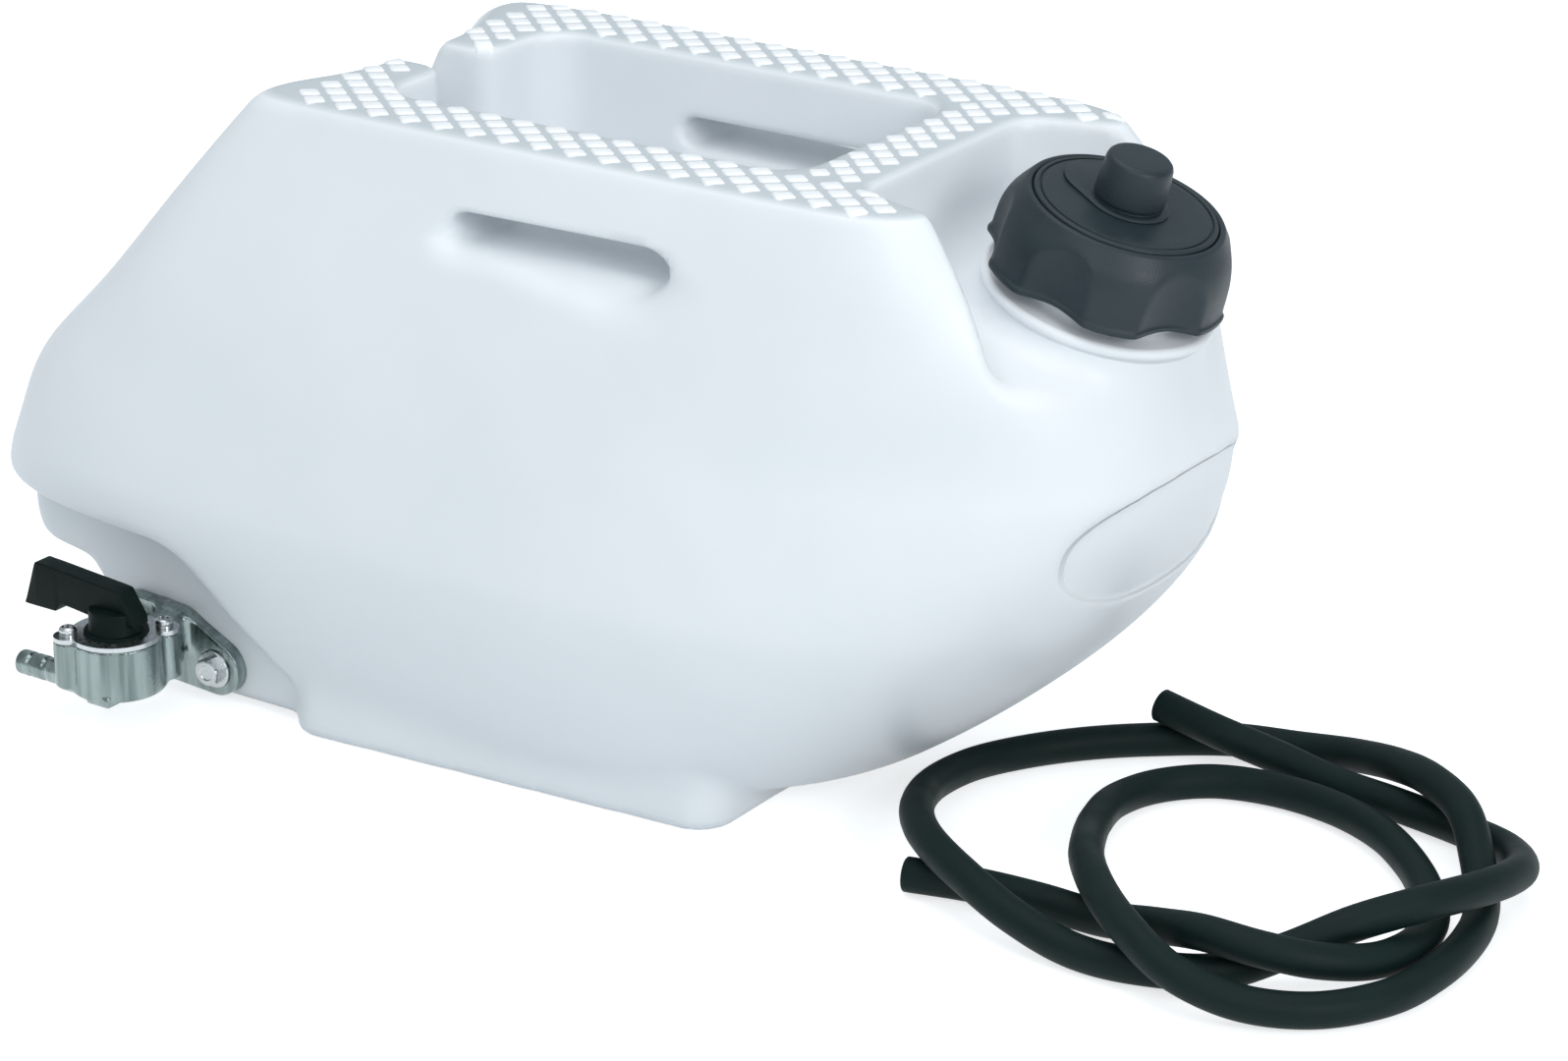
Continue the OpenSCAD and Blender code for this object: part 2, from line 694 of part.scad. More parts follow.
module strainer_screen() {
    start = seat_y + wall + 4;
    color("beige") translate([-valve_x, start, inlet_z]) rotate([-90, 0, 0]) difference() {
        cylinder(d = strainer_d, h = strainer_len);
        translate([0, 0, -past]) cylinder(r = inlet_tube_r + fit_gap, h = inlet_tube_in + past);
        translate([0, 0, inlet_tube_in - past])
            cylinder(d = strainer_d - 2, h = strainer_len - inlet_tube_in);
    }
}

module rotor_seal() {
    color("black") at_valve() difference() {
        translate([0, 0, chamber_floor + fit_gap])
            cylinder(r = chamber_r - fit_gap, h = seal_t - fit_gap);
        for (a = [0, 90, 180, 270]) rotate([0, 0, a]) translate([port_out, 0, chamber_floor - past])
            cylinder(d = port_d, h = seal_t + 2 * past);
    }
}

// Lever in one piece with its collar and the rotor's disc, whose groove joins two ports
hub_d = 17;
hub_top = cover_top + 8;
module petcock_lever() {
    color("#182827") at_valve() difference() {
        union() {
            translate([0, 0, rotor_base]) cylinder(d = rotor_d, h = rotor_t);
            translate([0, 0, rotor_top - past])
                cylinder(d = collar_d, h = cover_top + past - rotor_top + 1);
            translate([0, 0, cover_top]) cylinder(d = hub_d, h = hub_top - cover_top);
            translate([0, lever_w / 2, hub_top - 4]) rotate([90, 0, 0]) linear_extrude(lever_w)
                lever_outline();
        }
        translate([-port_d / 2, -port_out - port_d / 2, rotor_base - past])
            cube([port_d, 2 * port_out + port_d, past + 1.6]);
    }
}

// Side outline of the lever: a rising blade with a deeper tip
module lever_outline() {
    rise = tan(lever_rise);
    tip = lever_len * rise;
    polygon([[hub_d / 2 + 1.8, 0], [hub_d / 2 + 1.8, 2.5], [hub_d / 2 - 3.6, lever_h],
        [-lever_len + 5, lever_h + tip], [-lever_len, tip - 4.3], [-lever_len + 12.5, tip - 4.4],
        [-lever_len + 14.5, 0.4], [-hub_d / 2, 0.1]]);
}

module rotor_o_ring() {
    ring_t = 1.4;
    ring_z = (rotor_top + valve_top) / 2 + 0.4;
    color("black") at_valve() translate([0, 0, ring_z]) difference() {
        cylinder(d = rotor_d - 1, h = ring_t);
        translate([0, 0, -past]) cylinder(d = collar_d + 2 * fit_gap, h = ring_t + 2 * past);
    }
}

// Ring of spring strip bent into three waves
wave_n = 3;
wave_rise = 0.5;
wave_t = 0.4;
wave_steps = 36;
module wave_spring() {
    low = rotor_top + wave_rise + 0.35;
    inner = collar_d / 2 + 0.4;
    outer = rotor_d / 2 - 0.2;
    n = wave_steps;
    pts = [for (i = [0 : n - 1]) let (a = 360 * i / n, z = low + wave_rise * sin(wave_n * a))
        each [for (p = [[inner, 0], [inner, wave_t], [outer, wave_t], [outer, 0]])
            [p[0] * cos(a), p[0] * sin(a), z + p[1]]]];
    faces = [for (i = [0 : n - 1]) for (j = [0 : 3])
        let (a = 4 * i + j, b = 4 * i + (j + 1) % 4, c = 4 * ((i + 1) % n))
        each [[a, c + j, c + (j + 1) % 4], [a, c + (j + 1) % 4, b]]];
    color("lightsteelblue") at_valve() polyhedron(points = pts, faces = faces);
}

module cover_plate() {
    color("silver") difference() {
        union() {
            at_valve() translate([0, 0, valve_top + fit_gap]) cylinder(d = valve_d - 1, h = cover_t);
            at_screws() translate([0, 0, valve_top + fit_gap]) cylinder(r = boss_out - 0.3, h = cover_t);
        }
        at_valve() translate([0, 0, valve_top - past])
            cylinder(d = collar_d + 2 * run_gap, h = cover_t + 3 * past);
        at_screws() translate([0, 0, valve_top - past])
            cylinder(r = screw_d / 2 + 0.15, h = cover_t + 3 * past);
    }
}

washer_t = 0.8;
screw_in = 8;
screw_head = 2.2;
module screw_washers() {
    color("gray") at_screws() translate([0, 0, cover_top + fit_gap]) difference() {
        cylinder(r = screw_d * 0.95, h = washer_t);
        translate([0, 0, -past]) cylinder(r = screw_d / 2 + 0.15, h = washer_t + 2 * past);
    }
}

module cover_screws() {
    head_z = cover_top + washer_t + 2 * fit_gap;
    slot = screw_d * 0.28;
    color("gainsboro") at_screws() difference() {
        union() {
            translate([0, 0, valve_top - screw_in + 1])
                cylinder(r = screw_d / 2 - fit_gap, h = head_z - valve_top + screw_in - 1);
            translate([0, 0, head_z]) cylinder(r = screw_d * 0.95, h = screw_head);
        }
        for (a = [0, 90]) rotate([0, 0, a]) translate([-screw_d * 0.6, -slot / 2, head_z + screw_head - 1.2])
            cube([screw_d * 1.2, slot, 2]);
    }
}

// Points of the loose hose on the floor beside the tail, from one cut end to the other
hose_route = [[134, 50, 17.5], [155, 49, 14], [176, 52, 9], [196, 51, 6], [217, 48, 6],
    [238, 44, 6], [258, 36, 7.5], [271, 21, 11], [276, 2, 16], [275, -18, 20], [268, -37, 21.5],
    [255, -52, 18], [241, -65, 11], [227, -78, 6], [208, -88, 6], [187, -90, 6], [166, -88, 10],
    [146, -83, 15.5], [128, -73, 17.5], [114, -58, 16], [104, -40, 13], [98, -20, 9.5], [98, 1, 7],
    [106, 20, 6], [119, 36, 6], [135, 50, 6], [153, 62, 6], [173, 68, 6], [193, 67, 9],
    [212, 58, 14], [229, 46, 18], [246, 33, 17.5], [259, 17, 11], [270, -2, 6], [276, -23, 6],
    [277, -45, 6], [273, -66, 6], [260, -84, 6], [242, -95, 8], [223, -98, 13], [204, -90, 17.5],
    [187, -76, 18.5], [172, -58, 17], [161, -39, 13], [152, -19, 9.5], [147, 1, 7], [151, 19, 6],
    [164, 32, 6], [183, 37, 6], [204, 35, 6], [223, 27, 6], [239, 14, 6], [252, -1, 6],
    [262, -18, 6.5], [266, -37, 8], [264, -57, 11], [254, -71, 14], [240, -79, 17],
    [222, -80, 17.5], [203, -73, 11.5], [183, -68, 6], [162, -68, 6], [141, -70, 6],
    [121, -75, 6]];
hose_sides = 8;
hose_steps = 2;
// The route with its two ends carried on by one step, so that the curve starts and ends on them
hose_last = len(hose_route) - 1;
hose_knots = concat([2 * hose_route[0] - hose_route[1]], hose_route,
    [2 * hose_route[hose_last] - hose_route[hose_last - 1]]);
// Point of a curve through the route's points, in span i at t from 0 to 1
function spline(i, t) = let (k = hose_knots, a = k[i], b = k[i + 1], c = k[i + 2], d = k[i + 3])
    (2 * b + (c - a) * t + (2 * a - 5 * b + 4 * c - d) * t ^ 2 + (3 * b - a - 3 * c + d) * t ^ 3) / 2;
hose_line = [for (j = [0 : hose_last * hose_steps])
    let (i = min(floor(j / hose_steps), hose_last - 1)) spline(i, j / hose_steps - i)];
hose_end = len(hose_line) - 1;
function unit(v) = v / norm(v);
function hose_dir(j) = unit(hose_line[min(j + 1, hose_end)] - hose_line[max(j - 1, 0)]);
module fuel_hose() {
    color("#1c2526") skin([for (j = [0 : hose_end])
        let (t = hose_dir(j), u = unit(cross([0, 0, 1], t)), v = cross(t, u))
        [for (a = [0 : 360 / hose_sides : 359]) hose_line[j] + hose_d / 2 * (cos(a) * u + sin(a) * v)]]);
}
// Least gap between two strands of the hose that lie more than a bend apart
strand_apart = 4;
hose_gap = min([for (i = [0 : hose_end]) for (j = [i + strand_apart : 1 : hose_end])
    norm(hose_line[i] - hose_line[j])]) - hose_d;
echo(hose_gap = hose_gap);

tank_shell();
threaded_inserts();
cap_grip();
cap_liner();
cap_gasket();
cap_disc();
vent_knob();
vent_valve();
petcock_body();
flange_o_ring();
flange_bolts();
inlet_tube();
strainer_screen();
rotor_seal();
petcock_lever();
rotor_o_ring();
wave_spring();
cover_plate();
screw_washers();
cover_screws();
fuel_hose();
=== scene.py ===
import math

import bmesh
import bpy
import numpy as np
from mathutils import Matrix, Vector


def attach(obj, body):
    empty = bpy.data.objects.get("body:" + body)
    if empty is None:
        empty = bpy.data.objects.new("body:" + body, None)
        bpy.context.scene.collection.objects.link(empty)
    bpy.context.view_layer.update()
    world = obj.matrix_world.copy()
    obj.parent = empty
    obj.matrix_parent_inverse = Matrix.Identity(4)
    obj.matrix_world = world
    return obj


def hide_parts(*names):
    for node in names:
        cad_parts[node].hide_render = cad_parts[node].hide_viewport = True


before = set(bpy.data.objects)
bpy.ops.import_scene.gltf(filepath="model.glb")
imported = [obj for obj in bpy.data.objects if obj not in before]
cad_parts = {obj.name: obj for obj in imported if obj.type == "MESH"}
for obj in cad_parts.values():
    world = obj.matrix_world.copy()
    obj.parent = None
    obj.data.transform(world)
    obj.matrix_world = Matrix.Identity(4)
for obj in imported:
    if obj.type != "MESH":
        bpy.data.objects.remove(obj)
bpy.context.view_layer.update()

# Camera
# A long lens nearly a metre and a half away, turned by a little over a third of a right angle
# towards the filler end and looking down on the seat rails.
turn, dip = math.radians(34.2), math.radians(21.6)
look_at, away = Vector((0.028, -0.0009, 0.0684)), 1.439
back = Vector((math.sin(turn) * math.cos(dip), -math.cos(turn) * math.cos(dip), math.sin(dip)))
right = Vector((math.cos(turn), math.sin(turn), 0))
camera = bpy.data.objects.new("camera", bpy.data.cameras.new("camera"))
camera.data.lens = 107.14
camera.data.sensor_width = 36
camera.data.clip_end = 20
stand = Matrix.Translation(look_at + back * away)
camera.matrix_world = stand @ Matrix((right, back.cross(right), back)).transposed().to_4x4()
bpy.context.scene.collection.objects.link(camera)
bpy.context.scene.camera = camera
bpy.context.scene.view_settings.view_transform = "Standard"

# Fuel hose
# A loose length of extruded nitrile rubber hose, 10.5 mm outside and 5.2 mm in its bore, cut
# square at both ends. It lies in two and a half slack turns on the floor and is fixed to nothing.
hose_route = np.array([
    [134, 50, 17.5], [155, 49, 14], [176, 52, 9], [196, 51, 6], [217, 48, 6], [238, 44, 6],
    [258, 36, 7.5], [271, 21, 11], [276, 2, 16], [275, -18, 20], [268, -37, 21.5], [255, -52, 18],
    [241, -65, 11], [227, -78, 6], [208, -88, 6], [187, -90, 6], [166, -88, 10], [146, -83, 15.5],
    [128, -73, 17.5], [114, -58, 16], [104, -40, 13], [98, -20, 9.5], [98, 1, 7], [106, 20, 6],
    [119, 36, 6], [135, 50, 6], [153, 62, 6], [173, 68, 6], [193, 67, 9], [212, 58, 14],
    [229, 46, 18], [246, 33, 17.5], [259, 17, 11], [270, -2, 6], [276, -23, 6], [277, -45, 6],
    [273, -66, 6], [260, -84, 6], [242, -95, 8], [223, -98, 13], [204, -90, 17.5], [187, -76, 18.5],
    [172, -58, 17], [161, -39, 13], [152, -19, 9.5], [147, 1, 7], [151, 19, 6], [164, 32, 6],
    [183, 37, 6], [204, 35, 6], [223, 27, 6], [239, 14, 6], [252, -1, 6], [262, -18, 6.5],
    [266, -37, 8], [264, -57, 11], [254, -71, 14], [240, -79, 17], [222, -80, 17.5],
    [203, -73, 11.5], [183, -68, 6], [162, -68, 6], [141, -70, 6], [121, -75, 6]], float)
hose_r, hose_bore_r, hose_girth = 5.25, 2.6, 33.0
# How deep the bore is shown, the bevel of its mouth along and across, and the rounding of the cut edge
bore_deep, mouth_in, mouth_wide, cut_round = 9.0, 0.3, 0.25, 0.35


def through(route, steps):
    """Smooth line through every point of a route: on each step it is the cubic whose slope at a
    point is half the way between that point's two neighbours. The ends are carried on straight."""
    row = np.vstack([2 * route[0] - route[1], route, 2 * route[-1] - route[-2]])
    a, b, c, d = (row[i:len(row) - 3 + i, None] for i in range(4))
    t = (np.arange(steps) / steps)[None, :, None]
    line = (2 * b + (c - a) * t + (2 * a - 5 * b + 4 * c - d) * t**2 + (3 * b - a - 3 * c + d) * t**3) / 2
    return np.vstack([line.reshape(-1, 3), route[-1]])


def grid_faces(rows, columns):
    """Quads between the neighbours on a grid of points that are numbered row by row."""
    first = (np.arange(rows - 1)[:, None] * columns + np.arange(columns - 1)).ravel()
    return np.stack([first, first + 1, first + columns + 1, first + columns], axis=1)


def put_piece(name, points, faces, material, body, uv=None, crease=60):
    """A piece from points in millimetres and faces as rows of point numbers. Points that meet at a
    seam or a pole are merged, the faces are turned outwards by the sign of the enclosed volume, and
    edges that turn by more than the crease angle stay sharp."""
    mesh = bpy.data.meshes.new(name)
    mesh.from_pydata(points * 0.001, [], faces)
    if uv is not None:
        corner = np.zeros(len(mesh.loops), np.int32)
        mesh.loops.foreach_get("vertex_index", corner)
        mesh.uv_layers.new(name="UVMap").data.foreach_set("uv", uv[corner].astype(np.float32).ravel())
    work = bmesh.new()
    work.from_mesh(mesh)
    bmesh.ops.remove_doubles(work, verts=work.verts, dist=1e-6)
    if work.calc_volume(signed=True) < 0:
        bmesh.ops.reverse_faces(work, faces=work.faces)
    work.to_mesh(mesh)
    work.free()
    mesh.shade_smooth()
    mesh.set_sharp_from_angle(angle=math.radians(crease))
    mesh.materials.append(material)
    piece = bpy.data.objects.new(name, mesh)
    bpy.context.scene.collection.objects.link(piece)
    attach(piece, body)
    return piece


def linear(code):
    """An sRGB hex colour as linear red, green, blue and a full alpha."""
    c = np.array([int(code[i:i + 2], 16) for i in (1, 3, 5)]) / 255
    return (*np.where(c <= 0.04045, c / 12.92, ((c + 0.055) / 1.055) ** 2.4), 1.0)


def add(material, kind, inputs, **settings):
    """Adds one node: settings are its own properties, and inputs maps each socket to a value or to
    the output socket that is linked to it. The material's shader itself is the kind None."""
    tree = material.node_tree
    node = tree.nodes.new("ShaderNode" + kind) if kind else tree.nodes["Principled BSDF"]
    for key, value in settings.items():
        setattr(node, key, value)
    for key, value in inputs.items():
        if isinstance(value, bpy.types.NodeSocket):
            tree.links.new(value, node.inputs[key])
        else:
            node.inputs[key].default_value = value
    return node


def new_material(name):
    """An empty material with its shader, and the node that gives its coordinates."""
    material = bpy.data.materials.new(name)
    material.use_nodes = True
    return material, add(material, "TexCoord", {})


# Nitrile rubber, extruded and cured: a dull near-black skin with faint draw lines along the hose
# and a bloom that greys it in patches about 15 mm across.
nitrile, at = new_material("extruded_nitrile_rubber")
draw = add(nitrile, "Mapping", {0: at.outputs["UV"], "Scale": (1.5, 60, 1)})
lines = add(nitrile, "TexNoise", {"Vector": draw.outputs[0], "Scale": 1.0, "Detail": 2.0})
bloom = add(nitrile, "TexNoise", {"Vector": at.outputs["Object"], "Scale": 65.0, "Detail": 3.0})
grain = add(nitrile, "TexNoise", {"Vector": at.outputs["Object"], "Scale": 1600.0, "Detail": 1.0})
tint = add(nitrile, "Mix", {0: bloom.outputs[0], 6: linear("#051514"), 7: linear("#0d2321")},
    data_type="RGBA")
dull = add(nitrile, "MapRange", {0: bloom.outputs[0], 1: 0.3, 2: 0.7, 3: 0.5, 4: 0.64})
relief = add(nitrile, "Math", {0: lines.outputs[0], 1: grain.outputs[0]}, operation="ADD")
bump = add(nitrile, "Bump", {"Strength": 0.25, "Distance": 0.00012, "Height": relief.outputs[0]})
add(nitrile, None, {"Base Color": tint.outputs[2], "Roughness": dull.outputs[0], "IOR": 1.5,
    "Specular IOR Level": 0.17, "Normal": bump.outputs[0]})

line = through(hose_route, 12)
arc = np.concatenate([[0], np.linalg.norm(np.diff(line, axis=0), axis=1).cumsum()])
end = arc[-1]
# From the bottom of one cut end's bore, out over the cut face, along the hose and into the other
lead_s = np.array([bore_deep, bore_deep, mouth_in, 0, 0, cut_round])
lead_r = np.array([0, hose_bore_r, hose_bore_r, hose_bore_r + mouth_wide, hose_r - cut_round, hose_r])
hose_s = np.concatenate([lead_s, arc[1:-1], end - lead_s[::-1]])
hose_radius = np.concatenate([lead_r, np.full(len(arc) - 2, hose_r), lead_r[::-1]])
slope = np.gradient(line, arc, axis=0)
middle, ahead = (np.stack([np.interp(hose_s, arc, v[:, i]) for i in range(3)], axis=1)
    for v in (line, slope))
side = np.cross(ahead, [0, 0, 1])
side /= np.linalg.norm(side, axis=1)[:, None]
rise = np.cross(side, ahead)
rise /= np.linalg.norm(rise, axis=1)[:, None]
angle = np.linspace(0, 2 * np.pi, 29)
hose_points = middle[:, None] + hose_radius[:, None, None] * (
    np.cos(angle)[None, :, None] * side[:, None] + np.sin(angle)[None, :, None] * rise[:, None])
hose_uv = np.stack(np.broadcast_arrays(hose_s[:, None] / hose_girth, angle / (2 * np.pi)), axis=-1)
hose = put_piece("fuel_hose_rubber", hose_points.reshape(-1, 3), grid_faces(len(hose_s), len(angle)),
    nitrile, "tank", uv=hose_uv.reshape(-1, 2))
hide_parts("fuel_hose")

# Tank shell
# A rotationally moulded shell of natural white polyethylene, about 4 mm thick. One hollow moulding
# makes the belly, the foot, the two seat rails round the open well, and the canted filler neck.
tank_h = 200.0
neck_at, neck_lean, neck_r, spout_r = np.array([137.0, 0.0, 166.0]), math.radians(17), 33.5, 24.5
# Nose, tail and side of the belly: the level where each is widest, its reach there, then its reach
# at the top and at the floor, each with the power of its bow
belly_x = -20.0
nose_form = (66.0, 208.0, 105.5, 1.1, 80.0, 2.9)
tail_form = (118.0, 192.0, 133.0, 1.35, 86.0, 1.9)
side_form = (75.0, 104.5, 68.2, 1.35, 74.0, 1.7)
dish_deep, dish_half = 63.8, 44.0
swell_high, swell_z, swell_wide = 6.0, 108.0, 20.0
# Bays, notch, foot and keel under the belly, then the openings, the scoop and the tail's oval
bay_z, bay_rear, bay_front, bay_half = 59.0, -123.0, -216.0, 81.0
notch_x, notch_z = -187.0, 36.5
foot_front, foot_rear, foot_half = -103.0, 54.0, 88.5
keel_front, keel_rear = -156.0, -90.0
well_front, well_rear, well_half, well_z = -91.5, 60.0, 43.0, 126.0
gap_half, gap_rear, gap_z = 11.0, -70.0, 142.0
slot_front, slot_rear, slot_z, slot_round = -35.0, 33.0, 175.0, 6.0
scoop_x, scoop_half = 84.0, 43.0
oval_x, oval_z, oval_half, oval_high, oval_power = 60.0, 101.0, 48.5, 19.0, 2.3


def smooth_min(a, b, k):
    """The lesser of two fields, their corner rounded by a parabola over the width k."""
    h = np.clip(0.5 + 0.5 * (b - a) / k, 0, 1)
    return b + (a - b) * h - k * h * (1 - h)


def smooth_max(a, b, k):
    """The greater of two fields, rounded in the same way."""
    return -smooth_min(-a, -b, k)


def bow(z, z0, v0, z1, v1, power):
    """Leaves v0 at height z0 with an upright tangent and reaches v1 at z1, as a power of the height."""
    return v0 + (v1 - v0) * np.abs((z - z0) / (z1 - z0)) ** power


def step_up(a, b, v):
    """0 below a, 1 above b, and a cubic between them; it falls where a is the greater of the two."""
    t = np.clip((v - a) / (b - a), 0, 1)
    return t * t * (3 - 2 * t)


def bulge(z, level, reach, top, top_power, low, low_power):
    """A reach that is greatest at one level and bows in from there to the top and to the floor."""
    upper = bow(z, level, reach, tank_h, top, top_power)
    return np.where(z > level, upper, bow(z, level, reach, 0, low, low_power))


def level_ratio(x, y, z):
    """How far out a point lies in the belly's level section, 1 on the skin: a superellipse in plan,
    squarer at the nose than at the tail, whose lengths and width bow with the height. The nose is
    drawn back and steeper in the middle near the top, and swells a little over its widest level."""
    nose = bulge(z, *nose_form)
    drop = np.clip(tank_h - z, 0, dish_deep)
    middle = 92 + 0.34 * drop + 0.012 * drop**2
    drawn_back = np.maximum(nose - middle, 0) * np.exp(-(y / dish_half) ** 4) * (z > tank_h - dish_deep)
    nose = nose - drawn_back + swell_high * np.exp(-((z - swell_z) / swell_wide) ** 2)
    # The power of the superellipse grows from 6 to 14 up the nose and from 2.5 to 10 up the tail
    nose_n = 6 + 8 * np.maximum(z - nose_form[0], 0) / (tank_h - nose_form[0])
    tail_n = 2.5 + 7.5 * (np.maximum(z - tail_form[0], 0) / (tank_h - tail_form[0])) ** 2
    n = np.where(x < belly_x, nose_n, tail_n)
    length = np.where(x < belly_x, nose, bulge(z, *tail_form))
    return ((np.abs(x - belly_x) / length) ** n + (np.abs(y) / bulge(z, *side_form)) ** n) ** (1 / n)


def rounded_plan(x, y, x0, x1, half, r):
    """Distance to a rectangle in plan, from x0 to x1 and half wide to both sides, with its corners
    rounded by r."""
    p, q = np.maximum(x0 - x, x - x1) + r, y - half + r
    return np.minimum(np.maximum(p, q), 0) + np.hypot(np.maximum(p, 0), np.maximum(q, 0)) - r


def neck_frame(x, z):
    """A point's distance across and along the neck's axis from the middle of its lip."""
    c, s = math.cos(neck_lean), math.sin(neck_lean)
    return (x - neck_at[0]) * c - (z - neck_at[2]) * s, (x - neck_at[0]) * s + (z - neck_at[2]) * c


def shell_field(x, y, z):
    """Signed distance to the shell's skin, nearly: the belly divided by its slope, cut back and added
    to by the other forms, each joined with a rounded edge."""
    y = np.abs(y)
    ratio = level_ratio(x, y, z)
    gap = 0.5
    run = [(level_ratio(x + gap * i, y + gap * j, z + gap * k) - ratio) / gap for i, j, k in np.eye(3)]
    d = np.maximum((ratio - 1) / np.maximum(np.sqrt(sum(g * g for g in run)), 2e-3), -40)
    d = smooth_max(d, 4 - z, 14)
    # Bays under the nose, one of which holds the fuel valve, run round its front, over the notch
    bay = smooth_max(z - bay_z + 0.035 * (x + 141), (x - bay_rear) * 0.832 + (z - 43) * 0.555, 11)
    d = smooth_max(d, -smooth_max(bay, -rounded_plan(x, y, bay_front, 300, bay_half, 12), 3), 5)
    notch = smooth_max(x - notch_x, z - notch_z + 0.12 * (x + 190), 5)
    rake = (x + 154) * 0.68 + (z - 3) * 0.73
    d = smooth_max(d, -smooth_min(notch, smooth_max(rake, z - 37, 6), 4), 4)
    # Foot, a little wider at the floor, and the raked keel between the bays in front of it
    foot = rounded_plan(x, y, foot_front, foot_rear, foot_half - 0.071 * (x + 101) - 0.13 * z, 12)
    d = smooth_min(d, smooth_max(smooth_max(foot, -z, 4), z - 40, 5), 5)
    keel = smooth_max(rounded_plan(x, y, keel_front, keel_rear, bay_half, 6), 3 - z, 3)
    d = smooth_min(d, smooth_max(smooth_max(keel, -rake - 1, 4), z - 36, 5), 3)
    # Flat top of the rails, with a rounder edge at the front of the prongs
    d = smooth_max(d, z - tank_h, 3.5 + 1.5 * step_up(-88, -112, x))
    # Open well and the gap between the prongs
    well = rounded_plan(x, y, well_front, well_rear, well_half - 0.03 * (tank_h - z), 14)
    prongs = smooth_max(smooth_max(y - gap_half, x - gap_rear, 6), gap_z - z, 8)
    d = smooth_max(d, -smooth_min(smooth_max(well, well_z - z, 10), prongs, 9), 3.5)
    # Hand slots through both rails, whose outer mouths are drawn out downwards and to the tail
    mouth, inner, tailward = step_up(69, 81, y), step_up(48, 43, y), np.clip((x + 38) / 76, 0, 1)
    above = 3.8 + 0.6 * inner + (1 + 4 * tailward) * mouth
    below = 5.3 + 0.8 * inner + 9 * tailward * mouth
    drawn_out = slot_round + 18 * mouth
    rear_run = np.maximum(x - slot_rear + 18 * mouth, 0) * slot_round / drawn_out
    end_run = np.where(x > 0, rear_run, np.maximum(slot_front - x, 0))
    height = np.where(z > slot_z, (z - slot_z) / above, (slot_z - z) / below) * slot_round
    hand = np.hypot(end_run, height) - slot_round
    soft = (3 + 5 * step_up(-15, -42, x)) * step_up(178, 171, z) * step_up(60, 76, y)
    d = smooth_max(d, -smooth_max(hand, 30 - y, 2), 1.5 + soft)
    # Scoop between the rail ends and the neck that stands in it
    across, along = neck_frame(x, z)
    scoop = smooth_max(scoop_x - x, (y - scoop_half - 0.3 * (x - scoop_x)) * 0.958, 9)
    d = smooth_max(d, -smooth_max(scoop, -10 - along, 9), 4)
    out = np.hypot(across, y)
    neck = smooth_max(out - neck_r - 0.05 * np.maximum(-along, 0), along - 1.2, 1.5)
    d = smooth_min(d, smooth_max(neck, -60 - along, 4), 10)
    d = smooth_max(d, -smooth_max(out - spout_r, -40 - along, 4), 1)
    # Flat oval let into the tail
    oval = (y / oval_half) ** oval_power + (np.abs(z - oval_z) / oval_high) ** oval_power
    let_in = 1.3 * step_up(1.06, 0.95, oval ** (1 / oval_power)) * (x > oval_x)
    return smooth_max(d + let_in, -z, 0.6)


def surface_net(field, low, high, step):
    """Closed quads on a field's zero level. Each grid cell that the level crosses gets one point, the
    mean of the crossings on its edges; the four cells round a crossed edge make one quad. Then each
    point is pulled on to the level along the field's slope."""
    axes = [np.arange(a, b + step, step) for a, b in zip(low, high)]
    d = field(*np.meshgrid(*axes, indexing="ij", sparse=True))
    n = np.array(d.shape)
    inside = d < 0
    count, total = np.zeros(n - 1), np.zeros((*(n - 1), 3))
    for axis in range(3):
        p, q = (i for i in range(3) if i != axis)
        for u, v in ((0, 0), (0, 1), (1, 0), (1, 1)):
            cut = [None] * 3
            cut[p], cut[q] = slice(u, n[p] - 1 + u), slice(v, n[q] - 1 + v)
            cut[axis] = slice(0, n[axis] - 1)
            a = d[tuple(cut)]
            cut[axis] = slice(1, n[axis])
            b = d[tuple(cut)]
            crossed = (a < 0) != (b < 0)
            count += crossed
            total[..., axis] += np.where(crossed, a / np.where(crossed, a - b, 1), 0)
            total[..., p] += u * crossed
            total[..., q] += v * crossed
    cells = np.argwhere(count > 0)
    number = np.full(n - 1, -1)
    number[count > 0] = np.arange(len(cells))
    points = (cells + total[count > 0] / count[count > 0][:, None]) * step + np.array(low)
    quads = []
    for axis in range(3):
        p, q = (i for i in range(3) if i != axis)
        cut = [slice(1, n[i] - 1) for i in range(3)]
        cut[axis] = slice(0, n[axis] - 1)
        a = inside[tuple(cut)]
        cut[axis] = slice(1, n[axis])
        b = inside[tuple(cut)]
        edge = np.argwhere(a != b) + np.array([0 if i == axis else 1 for i in range(3)])
        ring = []
        for u, v in ((1, 1), (0, 1), (0, 0), (1, 0)):
            cell = edge.copy()
            cell[:, p] -= u
            cell[:, q] -= v
            ring.append(number[tuple(cell.T)])
        quad = np.stack(ring, axis=1)
        outward = a[a != b] if axis != 1 else ~a[a != b]
        quads.append(np.where(outward[:, None], quad, quad[:, ::-1]))
    for _ in range(4):
        gap = 0.1 * step
        f = field(*points.T)
        run = np.stack([(field(*(points + gap * e).T) - field(*(points - gap * e).T)) / (2 * gap)
            for e in np.eye(3)], axis=1)
        pull = run * (f / np.maximum((run**2).sum(axis=1), 0.05))[:, None]
        size = np.linalg.norm(pull, axis=1)[:, None]
        points = points - pull * np.minimum(1, 0.4 * step / np.maximum(size, 1e-9))
    return points, np.concatenate(quads)


